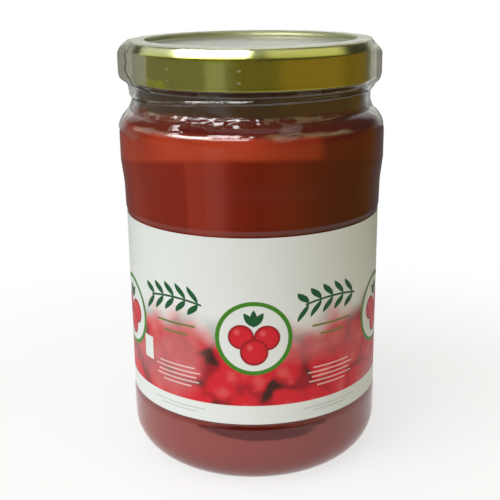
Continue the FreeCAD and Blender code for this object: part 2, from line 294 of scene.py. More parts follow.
def start_vertex(name: str, x: float, z: float) -> bpy.types.Object:
    """Adds a plane and merges it to one vertex, which is left selected in edit mode.

    Args:
        name: the piece's name.
        x: the vertex's place across, in mm.
        z: its place up, in mm.

    Returns:
        The new object.
    """
    bpy.ops.object.select_all(action="DESELECT")
    bpy.ops.mesh.primitive_plane_add(size=MM)
    piece = bpy.context.object
    piece.name = name
    bpy.ops.object.mode_set(mode="EDIT")
    bpy.ops.mesh.select_mode(type="VERT")
    bpy.ops.mesh.select_all(action="SELECT")
    bpy.ops.mesh.merge(type="CENTER")
    bpy.ops.transform.translate(value=(x * MM, 0, z * MM))
    return piece


def lathe(name: str, outline: list[Point], steps: int) -> bpy.types.Object:
    """Turns an outline once round the upright axis.

    Args:
        name: the piece's name.
        outline: points (across, up) in mm.
        steps: how many strips go round.

    Returns:
        The smooth-shaded piece, its normals outwards.
    """
    piece = start_vertex(name, *outline[0])
    for a, b in zip(outline, outline[1:]):
        move = ((b[0] - a[0]) * MM, 0, (b[1] - a[1]) * MM)
        bpy.ops.mesh.extrude_vertices_move(TRANSFORM_OT_translate={"value": move})
    bpy.ops.mesh.select_all(action="SELECT")
    bpy.ops.mesh.spin(steps=steps, angle=FULL_TURN, center=(0, 0, 0), axis=(0, 0, 1))
    bpy.ops.mesh.select_all(action="SELECT")
    bpy.ops.mesh.remove_doubles(threshold=MERGE)
    bpy.ops.mesh.normals_make_consistent(inside=False)
    bpy.ops.object.mode_set(mode="OBJECT")
    bpy.ops.object.shade_smooth()
    return piece


def draw_out(piece: bpy.types.Object, wanted: Callable[[float, float, float], bool],
             scale: tuple[float, float, float], level: float) -> None:
    """Extrudes some of a turned piece's faces and scales what comes out.

    Args:
        piece: the turned piece.
        wanted: tells from a face's middle, across and up in mm and its degrees from +X,
            whether the face is drawn out.
        scale: how much what comes out grows in X, Y and Z.
        level: the height in mm that stays where it is.
    """
    bpy.ops.object.select_all(action="DESELECT")
    bpy.context.view_layer.objects.active = piece
    bpy.ops.object.mode_set(mode="EDIT")
    bpy.ops.mesh.select_mode(type="FACE")
    bpy.ops.mesh.select_all(action="DESELECT")
    mesh = bmesh.from_edit_mesh(piece.data)
    for face in mesh.faces:
        middle = face.calc_center_median() / MM
        across = math.hypot(middle.x, middle.y)
        face.select = wanted(across, middle.z, math.degrees(math.atan2(middle.y, middle.x)))
    bmesh.update_edit_mesh(piece.data)
    bpy.ops.mesh.extrude_region_move()
    bpy.ops.transform.resize(value=scale, center_override=(0, 0, level * MM))
    bpy.ops.object.mode_set(mode="OBJECT")


def coordinates(piece: bpy.types.Object) -> np.ndarray:
    """Reads a mesh's points.

    Args:
        piece: the object.

    Returns:
        One row of x, y and z for each point, in metres.
    """
    flat = np.empty(len(piece.data.vertices) * 3)
    piece.data.vertices.foreach_get("co", flat)
    return flat.reshape(-1, 3)


def move_to(piece: bpy.types.Object, points: np.ndarray) -> None:
    """Writes a mesh's points, in metres."""
    piece.data.vertices.foreach_set("co", points.ravel())
    piece.data.update()


def ring_places(points: np.ndarray) -> tuple[np.ndarray, np.ndarray]:
    """Gives how far points are from the upright axis and how high they are, in mm."""
    return np.hypot(points[:, 0], points[:, 1]) / MM, points[:, 2] / MM


def read_off(curve: tuple[Point, ...], where: np.ndarray) -> np.ndarray:
    """Reads a curve of (place, value) points off at many places, straight between the points."""
    return np.interp(where, *np.array(curve).T)


def apply_modifier(piece: bpy.types.Object, kind: str, **settings) -> None:
    """Adds a modifier to a piece and applies it.

    Args:
        piece: the object.
        kind: the modifier's type name.
        settings: its properties.
    """
    bpy.ops.object.select_all(action="DESELECT")
    piece.select_set(True)
    bpy.context.view_layer.objects.active = piece
    modifier = piece.modifiers.new(kind.title(), kind)
    for name, value in settings.items():
        setattr(modifier, name, value)
    bpy.ops.object.modifier_apply(modifier=modifier.name)


def ripples(points: np.ndarray, scale: float, seed: float) -> np.ndarray:
    """Gives smooth noise from -1 to 1 at each point.

    Args:
        points: places, in metres.
        scale: bumps in each metre.
        seed: shifts the noise, so that two fields differ.

    Returns:
        One number for each point.
    """
    shift = Vector((seed, -seed, 2 * seed))
    return np.array([noise.noise(Vector(p) * scale + shift) for p in points])


def push_out(points: np.ndarray, amount: np.ndarray) -> np.ndarray:
    """Moves points away from the upright axis.

    Args:
        points: places, in metres.
        amount: how far each moves, in metres.

    Returns:
        The moved points.
    """
    across = np.maximum(np.hypot(points[:, 0], points[:, 1]), MERGE)
    grown = points.copy()
    grown[:, :2] *= (1 + amount / across)[:, None]
    return grown


def wear(piece: bpy.types.Object, node: str | None, slot: Slot, *materials: bpy.types.Material) -> None:
    """Dresses a finished piece and ties it to the frame.

    Args:
        piece: the object.
        node: the CAD node that it stands for, or None for one that it only adds to.
        slot: the record's material slot; not used.
        materials: its finishes, in the order of the faces' material numbers.
    """
    for material in materials:
        piece.data.materials.append(material)
    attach(piece, ROOT)
    if node:
        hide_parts(node)
    LOG.info("%s: %d faces, stands for %s", piece.name, len(piece.data.polygons), node or "no node")


# ---------------------------------------------------------------- the jar


@dataclass
class GlassJar:
    """The blown jar: heel, sunk label panel, flared shoulder, rolled neck and twist-off finish."""

    body_radius: float = 43.85
    wall: float = 2.5
    heel_round: float = 12.95
    ring_radius: float = 30.85
    ring_width: float = 2.0
    ring_round: float = 1.2
    push_up: float = 3.2
    push_up_edge: float = 7.0
    dome_round: float = 6.0
    base_thickness: float = 4.5
    base_dome: float = 2.0
    base_dome_edge: float = 8.0
    inner_heel: float = 9.0
    panel_depth: float = 0.35
    panel_foot: float = 24.1
    panel_head: float = 88.4
    panel_ramp: float = 1.6
    panel_round: float = 1.5
    swell: float = 0.15
    swell_drop: float = 8.0
    swell_round: float = 30.0
    shoulder_radius: float = 44.9
    shoulder_low: float = 106.0
    shoulder_low_round: float = 6.0
    shoulder_round: float = 9.0
    shoulder_corner: float = 119.48
    shoulder_thinning: float = 1.35
    neck_radius: float = 39.1
    neck_corner: float = 122.98
    neck_round: float = 3.0
    neck_thinning: float = 1.3
    rim_top: float = 144.374
    rim_round: float = 1.0
    rib_reach: float = 1.0
    rib_low: float = 134.3
    rib_high: float = 135.7
    rib_slim: float = 0.6
    rib_angle: float = 42.0
    rib_count: int = 6
    skin: float = 0.3
    steps: int = 192

    def outside(self) -> list[Corner]:
        """Gives the outer outline.

        Returns:
            Its corners, from the axis under the base up to the rim.
        """
        panel = self.body_radius - self.panel_depth
        return [
            Corner(0, self.push_up),
            Corner(self.ring_radius - self.push_up_edge, self.push_up, self.dome_round),
            Corner(self.ring_radius - self.ring_width, 0, self.ring_round),
            Corner(self.ring_radius, 0),
            Corner(self.body_radius, 0, self.heel_round),
            Corner(self.body_radius, self.panel_foot - self.panel_ramp, self.panel_round),
            Corner(panel, self.panel_foot, self.panel_round),
            Corner(panel, self.panel_head, self.panel_round),
            Corner(self.body_radius, self.panel_head + self.panel_ramp, self.panel_round),
            Corner(self.body_radius + self.swell, self.shoulder_low - self.swell_drop, self.swell_round),
            Corner(self.shoulder_radius, self.shoulder_low, self.shoulder_low_round),
            Corner(self.shoulder_radius, self.shoulder_corner, self.shoulder_round),
            Corner(self.neck_radius, self.neck_corner, self.neck_round),
            Corner(self.neck_radius, self.rim_top, self.rim_round),
        ]

    def inside(self) -> list[Corner]:
        """Gives the inner outline.

        Returns:
            Its corners, from the rim down to the axis on the floor.
        """
        body = self.body_radius - self.wall
        shoulder = self.shoulder_radius - self.wall
        neck = self.neck_radius - self.wall
        floor = self.base_thickness
        return [
            Corner(neck, self.rim_top, self.rim_round),
            Corner(neck, self.neck_corner - self.neck_thinning, self.neck_round + self.wall),
            Corner(shoulder, self.shoulder_corner - self.shoulder_thinning, self.shoulder_round - self.wall),
            Corner(shoulder, self.shoulder_low, self.shoulder_low_round),
            Corner(body + self.swell, self.shoulder_low - self.swell_drop, self.swell_round),
            Corner(body, self.shoulder_low - 2 * self.swell_drop, self.swell_round),
            Corner(body, floor, self.inner_heel),
            Corner(self.ring_radius - self.base_dome_edge, floor, self.dome_round),
            Corner(0, floor + self.base_dome),
        ]

    def on_rib(self, across: float, up: float, degrees: float) -> bool:
        """Tells whether a face lies where a rib is drawn out of the neck.

        Args:
            across: how far the face's middle is from the axis, in mm.
            up: how high it is, in mm.
            degrees: its direction from +X.

        Returns:
            True on a rib.
        """
        turned = (degrees + 360) % (360 / self.rib_count)
        outer = across > self.neck_radius - self.skin
        return self.rib_low < up < self.rib_high and outer and turned < self.rib_angle

    def build(self, finish: "FlintGlass") -> bpy.types.Object:
        """Turns the jar, draws out the ribs that the cap's lugs grip and dresses it.

        Args:
            finish: the glass.

        Returns:
            The finished piece.
        """
        outline = rounded(self.outside(), stretch=2.0) + rounded(self.inside())
        piece = lathe("jar_glass", outline, self.steps)
        reach = 1 + self.rib_reach / self.neck_radius
        draw_out(piece, self.on_rib, (reach, reach, self.rib_slim), (self.rib_low + self.rib_high) / 2)
        wear(piece, "glass_jar", Slot.JAR_GLASS, finish.material())
        return piece


@dataclass(frozen=True)
class FlintGlass:
    """Clear soda-lime container glass, blown in a mould.

    The eye gets crisp reflections that waver a little, a faint grey-green body colour in the
    thick base, and a stippled resting ring.
    """

    ior: float = 1.52
    roughness: float = 0.015
    tint: str = "F4F8F5"
    clarity: float = 0.93
    wave_mm: float = 14.0
    stipple_mm: float = 0.9

    def material(self) -> bpy.types.Material:
        """Makes the material.

        Returns:
            The material.
        """
        material, tree, shader = fresh_material("blown_flint_glass")
        spot = round_the_jar(tree)
        wave = put(tree, "ShaderNodeTexNoise", pattern(spot["place"], self.wave_mm, Detail=1.0))
        stipple = put(tree, "ShaderNodeTexVoronoi", pattern(spot["place"], self.stipple_mm))
        height = formula(tree, "wave * 0.25 + stipple * fade(up, 1.2, 0.2) * 0.2",
                         wave=wave, stipple=stipple, **spot)
        bump = put(tree, "ShaderNodeBump", {"Height": height, "Strength": 0.35, "Distance": 0.3 * MM})
        feed(tree, shader, {"Base Color": self.tint, "Transmission Weight": 1.0, "IOR": self.ior,
                            "Roughness": self.roughness, "Normal": bump})
        let_light_in(tree, shader, self.clarity)
        return material


# ---------------------------------------------------------------- the paste


@dataclass(frozen=True)
class SpoonMark:
    """A hollow that the filler's spoon left: its direction from +X, place, width and depth."""

    degrees: float
    distance: float
    spread: float
    depth: float


@dataclass
class PasteFill:
    """The paste, which fills the jar to its neck's foot, bears spoon marks and smears the neck."""

    jar: GlassJar
    bite: float = 0.35
    level: float = 118.0
    cling: float = 124.5
    cling_width: float = 3.2
    bank_width: float = 6.0
    bank_rise: float = 1.5
    bank_round: float = 8.0
    smear: float = 0.8
    smear_top: float = 131.6
    smear_round: float = 0.3
    lump: float = 0.9
    lumps_per_metre: float = 120.0
    small_lump: float = 0.35
    small_lumps_per_metre: float = 420.0
    moist_below: float = 9.0
    steps: int = 192
    marks: tuple[SpoonMark, ...] = (
        SpoonMark(-92, 33, 19.5, 4.8), SpoonMark(-20, 22, 19.5, 3.68), SpoonMark(60, 24, 15.75, 3.68),
        SpoonMark(130, 15, 15.75, 2.4), SpoonMark(-145, 20, 10.5, 2.4))

    def outline(self) -> list[Point]:
        """Gives the paste's outline, which reaches just into the glass all along the wall.

        Returns:
            Points (across, up) in mm, from the axis on top round to the axis on the floor.
        """
        wall = rounded(self.jar.inside(), stretch=2.5)
        inner = [p for p in wall if p[1] < self.smear_top]
        fat = []
        for i, (across, up) in enumerate(inner):
            a = inner[max(i - 1, 0)]
            b = inner[min(i + 1, len(inner) - 1)]
            run = Vector((b[0] - a[0], b[1] - a[1])).normalized()
            fat.append((max(across - run.y * self.bite, 0.0), up + run.x * self.bite))
        fat[-1] = (0.0, fat[-1][1])
        rim = fat[0][0]
        bank = rim - self.cling_width
        top = [
            Corner(0, self.level),
            Corner(bank - self.bank_width, self.level, self.bank_round),
            Corner(bank, self.level + self.bank_rise, 3),
            Corner(rim - self.smear - self.smear_round, self.cling, 2),
            Corner(rim - self.smear, self.smear_top, self.smear_round),
            Corner(rim, self.smear_top + 0.1),
        ]
        return rounded(top, turn=10, stretch=1.0) + fat

    def press_spoon(self, piece: bpy.types.Object) -> None:
        """Makes the open top lumpy and presses the spoon marks into it.

        Args:
            piece: the turned paste.
        """
        points = coordinates(piece)
        across, up = ring_places(points)
        neck = self.jar.neck_radius - self.jar.wall
        open_top = (up > self.level - 1) & (across < neck - 0.4) & (up < self.cling + 1)
        depth = np.zeros(len(points))
        for mark in self.marks:
            way = math.radians(mark.degrees)
            centre = np.array([math.cos(way), math.sin(way)]) * mark.distance
            away = np.hypot(*(points[:, :2] / MM - centre).T) / mark.spread
            depth = np.maximum(depth, mark.depth * np.clip(1 - away ** 2, 0, None))
        lumps = ripples(points, self.lumps_per_metre, 3.1) * self.lump
        lumps += ripples(points, self.small_lumps_per_metre, 7.7) * self.small_lump
        points[:, 2] += np.where(open_top, lumps - depth, 0) * MM
        move_to(piece, points)

    def build(self, wall_finish: "TomatoPaste", top_finish: "MoistPaste") -> bpy.types.Object:
        """Turns the paste, presses the spoon marks in and dresses it.

        Args:
            wall_finish: the finish against the glass.
            top_finish: the finish of the open top.

        Returns:
            The finished piece.
        """
        piece = lathe("paste_fill", self.outline(), self.steps)
        self.press_spoon(piece)
        opening = self.jar.neck_radius - self.jar.wall + self.bite - 0.05
        for face in piece.data.polygons:
            middle = face.center / MM
            inside = math.hypot(middle.x, middle.y) < opening
            face.material_index = int(inside and middle.z > self.level - self.moist_below)
        wear(piece, "tomato_paste", Slot.PASTE, wall_finish.material(), top_finish.material())
        return piece


@dataclass(frozen=True)
class TomatoPaste:
    """Double-concentrated tomato paste, cooked and packed hot, as it lies against the glass.

    It wets the glass, so its own gloss is gone and it is a dull, deep brick red with faint
    upright streaks, browner up the neck. Light and shade are painted into its colour too: a
    brighter band where light comes in over the shoulder, a paler reflected stripe, painted shade
    down the front, on the right and above the shoulder, paler painted reflections under the cap
    and over the heel, and the glints of a few bubbles.
    """

    body: str = "8C2410"
    streak: str = "84200E"
    shade: str = "521A0E"
    # painted shade: a darker column down the front, below the shoulder
    deep: str = "701206"
    # painted reflection: a paler upright stripe down the front left
    reflection_stripe: str = "A43A26"
    # painted light: the bright band where light comes in over the shoulder
    shoulder: str = "B44026"
    # painted shade: darker paste above the shoulder's turn
    foot: str = "7E2C1A"
    # painted shade: darker still at the front, above the shoulder's turn
    hollow: str = "6A1C12"
    neck: str = "4A3020"
    # painted reflection: pale grey patches just under the cap's edge
    under_cap_reflection: str = "8C8078"
    # painted reflection: pinkish paste low down, where the glass mirrors the white floor
    heel_reflection: str = "90403C"
    # a darker patch just below the label
    pressed: str = "5A0603"
    # small air bubbles at the glass; their glints are painted as pale spots
    bubble_glint: str = "C8785A"
    roughness: float = 0.5
    gloss: float = 0.03
    streak_mm: float = 16.0
    streak_squeeze: float = 0.22
    mottle_mm: float = 6.0
    grain_mm: float = 1.1
    bubble_mm: float = 11.0

    def colour(self, tree: bpy.types.NodeTree, spot: dict[str, Feed]) -> Feed:
        """Paints the paste: body, neck, bubbles, and the painted light of band, shade, reflections and
        glints.

        Args:
            tree: the material's tree.
            spot: the place on the jar.

        Returns:
            The colour.
        """
        squeeze = (1, 1, self.streak_squeeze)
        drawn = put(tree, "ShaderNodeMapping", {"Vector": spot["place"], "Scale": squeeze})
        streaks = put(tree, "ShaderNodeTexNoise", pattern(drawn, self.streak_mm, Detail=1.5))
        mottle = put(tree, "ShaderNodeTexNoise", pattern(spot["place"], self.mottle_mm, Detail=2.0))
        pits = put(tree, "ShaderNodeTexVoronoi", pattern(spot["place"], self.bubble_mm))
        pick = put(tree, "ShaderNodeSeparateColor", {0: pits.outputs["Color"]})
        front = formula(tree, "fade(abs(angle), 150, 120)", **spot)
        in_the_dark = formula(tree, "front * (0.4 * fade(angle, -10, 22) + 0.5 * fade(angle, 26, 33))",
                              front=front, **spot)
        sagging = formula(tree, "up + s + 7.9 * (1 - cos(radians(min(abs(angle), 70))))", s=streaks, **spot)
        smudge = formula(tree, "sqrt(pow((angle - 3) / 26, 2) + pow((up - 20.6 + (s - 0.5) * 3) / 2.6, 2))",
                         s=streaks, **spot)
        return painted(
            tree, self.body,
            (self.streak, "fade(s, 0.44, 0.58)"),
            # painted reflection: the paler stripe down the front left
            (self.reflection_stripe, "fade(angle, -28.4, -27.6) * fade(angle, -10, -16) * fade(up, 113, 110) * 0.35"),
            # painted shade: the darker column down the front
            (self.deep, "fade(abs(angle + 2), 10, 5) * fade(up, 113, 111) * 0.6"),
            (self.shade, "fade(angle, -14, 38) * front * 0.9"),
            # painted light: the bright band under the shoulder, weaker on the left and in the dark right
            (self.shoulder, "fade(sagging, 111.3, 113.7) * fade(up + s * 2, 119.8, 119.0)"
                            " * (0.5 + 0.5 * fade(angle, -52, -32)) * (1 - in_the_dark)"),
            # painted shade: darker paste above the shoulder's turn
            (self.foot, "fade(up + s * 2, 119.0, 119.8)"),
            # painted shade: darker still at the front, above the shoulder's turn
            (self.hollow, "fade(up, 118.4, 119.2) * fade(abs(angle + 7 + (m - 0.5) * 30), 26, 22)"),
            (self.shade, "fade(angle, 2, 22) * front * fade(up, 117, 119) * 0.6"),
            (self.neck, "fade(up + m * 3, 124.0, 126.2)"),
            # painted reflection: pale grey patches just under the cap's edge
            (self.under_cap_reflection, "max(fade(abs(angle + 20), 6, 4), fade(abs(angle - 28), 8, 5))"
                       " * fade(up + m * 0.8, 130.2, 130.8) * 0.7"),
            # painted reflection: pinkish paste low down, where the glass mirrors the white floor
            (self.heel_reflection, "fade(up, 29, 21)"),
            # a darker patch just below the label
            (self.pressed, "max(fade(smudge, 1.1, 0.8),"
                           " fade(abs(up - 21.6), 0.9, 0.3) * fade(abs(angle - 4), 32, 28))"),
            # small air bubbles at the glass; their glints are painted as pale spots
            (self.bubble_glint, "fade(pit, 0.075, 0.045) * fade(pick, 0.55, 0.6) * 0.7"),
            s=streaks, m=mottle, pit=pits, pick=pick, front=front, in_the_dark=in_the_dark,
            sagging=sagging, smudge=smudge, **spot)

    def material(self) -> bpy.types.Material:
        """Makes the material.

        Returns:
            The material.
        """
        material, tree, shader = fresh_material("tomato_paste_on_glass")
        spot = round_the_jar(tree)
        grain = put(tree, "ShaderNodeTexNoise", pattern(spot["place"], self.grain_mm, Detail=4.0))
        bump = put(tree, "ShaderNodeBump", {"Height": grain, "Strength": 0.04, "Distance": 0.4 * MM})
        feed(tree, shader, {"Base Color": self.colour(tree, spot), "Roughness": self.roughness,
                            "Specular IOR Level": self.gloss, "Normal": bump})
        return material


@dataclass(frozen=True)
class MoistPaste:
    """The same paste where it lies open under the cap: moist, glossy, darker and browner, and darkened as
    painted shade under the cap.
    """

    # partly painted shade: kept dark for the shade under the cap
    moist: str = "4C2412"
    dry: str = "62341C"
    roughness: float = 0.32
    mottle_mm: float = 7.0
    grain_mm: float = 1.4

    def material(self) -> bpy.types.Material:
        """Makes the material.

        Returns:
            The material.
        """
        material, tree, shader = fresh_material("tomato_paste_open_top")
        place = round_the_jar(tree)["place"]
        mottle = put(tree, "ShaderNodeTexNoise", pattern(place, self.mottle_mm, Detail=3.0))
        grain = put(tree, "ShaderNodeTexNoise", pattern(place, self.grain_mm, Detail=4.0))
        dry = formula(tree, "fade(n, 0.45, 0.65)", n=mottle)
        rough = formula(tree, "base + dry * 0.25", base=self.roughness, dry=dry)
        bump = put(tree, "ShaderNodeBump", {"Height": grain, "Strength": 0.3, "Distance": 0.4 * MM})
        feed(tree, shader, {"Base Color": painted(tree, self.moist, (self.dry, dry)),
                            "Roughness": rough, "Normal": bump})
        return material


# ---------------------------------------------------------------- the cap


@dataclass
class TwistOffCap:
    """The pressed tinplate cap: sunk panel, crest, sloped shoulder, skirt, rolled curl and lugs."""

    radius: float = 41.25
    top: float = 144.624
    edge: float = 131.924
    sheet: float = 0.25
    recess_radius: float = 36.2
    recess_drop: float = 1.6
    recess_round: float = 0.75
    crest_out: float = 39.9
    crest_round: float = 1.2
    corner_up: float = 141.3
    corner_round: float = 2.2
    curl: float = 0.5
    curl_share: float = 0.9
    curl_tuck: float = 0.3
    bead: float = 0.05
    lug_count: int = 6
    lug_angle: float = 12.0
    lug_reach: float = 1.55
    lug_turn: float = 15.0
    steps: int = 240

    def outline(self) -> list[Corner]:
        """Gives the cap's outline.

        Returns:
            Its corners, along the top, round the curl and back along the underside.
        """
        floor = self.top - self.recess_drop
        inner = self.radius - self.sheet
        out = self.radius + self.bead
        back = out - 2 * self.curl
        curl_top = self.edge + 2 * self.curl
        curl_round = self.curl * self.curl_share
        tuck = self.curl_tuck
        return [
            Corner(0, floor),
            Corner(self.recess_radius, floor, self.recess_round),
            Corner(self.recess_radius, self.top, self.crest_round),
            Corner(self.crest_out, self.top, self.crest_round),
            Corner(self.radius, self.corner_up, self.corner_round),
            Corner(self.radius, curl_top + tuck, tuck),
            Corner(out, curl_top, 0.2),
            Corner(out, self.edge, curl_round),
            Corner(back, self.edge, curl_round),
            Corner(back, curl_top, tuck),
            Corner(inner, curl_top + tuck, 0.1),
            Corner(inner, self.corner_up, self.corner_round - self.sheet),
            Corner(self.crest_out - self.sheet, self.top - self.sheet, self.crest_round - self.sheet),
            Corner(self.recess_radius + self.sheet, self.top - self.sheet, self.crest_round - self.sheet),
            Corner(self.recess_radius + self.sheet, floor - self.sheet, self.recess_round + self.sheet),
            Corner(0, floor - self.sheet),
        ]

    def on_lug(self, across: float, up: float, degrees: float) -> bool:
        """Tells whether a face lies where a lug is pressed inwards out of the curl.

        Args:
            across: how far the face's middle is from the axis, in mm.
            up: how high it is, in mm.
            degrees: its direction from +X.

        Returns:
            True on a lug.
        """
        turned = (degrees - self.lug_turn + 360) % (360 / self.lug_count)
        low = self.edge + 0.1 < up < self.edge + 2 * self.curl - 0.15
        inner = across < self.radius + self.bead - 2 * self.curl + 0.12
        return low and inner and turned < self.lug_angle

    def build(self, finish: "GoldLacquer") -> bpy.types.Object:
        """Turns the cap, presses its lugs and dresses it.

        Args:
            finish: the lacquered sheet.

        Returns:
            The finished piece.
        """
        piece = lathe("twist_off_cap", rounded(self.outline(), turn=9, stretch=3.0), self.steps)
        reach = 1 - (self.lug_reach - self.curl) / (self.radius + self.bead - 2 * self.curl)
        draw_out(piece, self.on_lug, (reach, reach, 1), 0)
        wear(piece, "cap", Slot.CAP_METAL, finish.material(self))
        return piece


@dataclass(frozen=True)
class GoldLacquer:
    """Tinplate under clear gold lacquer, rolled, printed flat and pressed.

    The skirt and crest mirror the room in olive gold, a little blurred by the lacquer's orange
    peel. The panel is paler, with the sheet's rolling lines, which are ten times finer on real
    sheet and are drawn coarse enough to show. The crest is tinted paler, most on the left towards
    the light, as a painted sheen, and a small yellow-green patch on the skirt is a painted reflection.
    """

    gold: str = "D6D65C"
    # painted sheen: a paler tint on the crest, strongest on the left towards the light
    crest: str = "E2E4BA"
    recess: str = "C2C69C"
    panel: str = "F0F0F4"
    # painted reflection: a small yellow-green glow on the skirt at the front left
    bright: str = "F2F400"
    roughness: float = 0.16
    coat_roughness: float = 0.06
    rolling_mm: float = 0.8
    rolling_draw: float = 0.04
    peel_mm: float = 1.6

    def material(self, cap: TwistOffCap) -> bpy.types.Material:
        """Makes the material.

        Args:
            cap: the cap whose panel is paler.

        Returns:
            The material.
        """
        material, tree, shader = fresh_material("gold_lacquered_tinplate")
        spot = round_the_jar(tree)
        on_panel = formula(tree, "fade(across, edge, edge - 0.6)", edge=cap.recess_radius - 0.4, **spot)
        drawn = put(tree, "ShaderNodeMapping", {"Vector": spot["place"], "Scale": (self.rolling_draw, 1, 1)})
        lines = put(tree, "ShaderNodeTexNoise", pattern(drawn, self.rolling_mm, Detail=2.0))
        peel = put(tree, "ShaderNodeTexNoise", pattern(spot["place"], self.peel_mm, Detail=1.0))
        # painted sheen: the crest is tinted paler, strongest on the left towards the light
        on_crest = formula(tree, "fade(across, 41.3, 40.3) * (0.6 + 0.3 * fade(angle, 30, -10))", **spot)
        in_crest = formula(tree, "fade(across, 38.0, 37.4) * (1 - panel)", panel=on_panel, **spot)
        # painted reflection: a small yellow-green glow on the skirt at the front left
        glow_patch = formula(tree, "fade(abs(angle + 46), 8, 4)"
                                " * fade(abs(up - 133.4 + (peel - 0.5) * 2), 1.5, 0.9)", peel=peel, **spot)
        colour = painted(tree, self.gold, (self.crest, on_crest), (self.recess, in_crest),
                         (self.panel, on_panel), (self.bright, glow_patch))
        rough = formula(tree, "base + panel * (0.08 + lines * 0.1) + crest * 0.07 + wall * 0.25"
                              " + (peel - 0.5) * 0.08", base=self.roughness, panel=on_panel, lines=lines,
                        crest=on_crest, wall=in_crest, peel=peel)
        coat = formula(tree, "0.9 - 0.35 * crest - 0.5 * wall", crest=on_crest, wall=in_crest)
        bump = put(tree, "ShaderNodeBump", {"Height": peel, "Strength": 0.15, "Distance": 0.1 * MM})
        feed(tree, shader, {"Base Color": colour, "Metallic": 1.0, "Roughness": rough, "Coat Weight": coat,
                            "Coat Roughness": self.coat_roughness, "Normal": bump})
        return material


# ---------------------------------------------------------------- the label


@dataclass
class WrapLabel:
    """The paper label, wrapped once round the panel with a lap at the back."""

    radius: float = 43.51
    foot: float = 24.7
    height: float = 63.1
    paper: float = 0.11
    lap_angle: float = 13.0
    lap_lift: float = 0.12
    lap_start: float = 0.05
    lap_run: float = 0.06
    across_count: int = 374
    up_count: int = 42

    def build(self, finish: "PrintedPaper") -> bpy.types.Object:
        """Wraps the label round the jar and dresses it.

        Args:
            finish: the printed paper.

        Returns:
            The finished piece.
        """
        bpy.ops.object.select_all(action="DESELECT")
        bpy.ops.mesh.primitive_grid_add(x_subdivisions=self.across_count, y_subdivisions=self.up_count,
                                        size=1)
        piece = bpy.context.object
        piece.name = "label_wrap"
        flat = coordinates(piece)
        turn = FULL_TURN + math.radians(self.lap_angle)
        along = (flat[:, 0] + 0.5) * turn
        around = along + math.pi / 2 - math.radians(self.lap_angle) / 2
        lapped = np.clip(along - (FULL_TURN - self.lap_start), 0, self.lap_run) / self.lap_run
        radius = (self.radius + lapped * self.lap_lift) * MM
        up = (self.foot + (flat[:, 1] + 0.5) * self.height) * MM
        move_to(piece, np.column_stack([np.cos(around) * radius, np.sin(around) * radius, up]))
        bpy.ops.object.mode_set(mode="EDIT")
        bpy.ops.mesh.select_all(action="SELECT")
        bpy.ops.mesh.normals_make_consistent(inside=False)
        bpy.ops.object.mode_set(mode="OBJECT")
        if piece.data.polygons[0].normal.dot(piece.data.polygons[0].center) < 0:
            piece.data.flip_normals()
        apply_modifier(piece, "SOLIDIFY", thickness=self.paper * MM, offset=1.0)
        bpy.ops.object.shade_smooth_by_angle(angle=math.radians(40))
        wear(piece, "label", Slot.LABEL_PAPER, finish.material(self))
        return piece


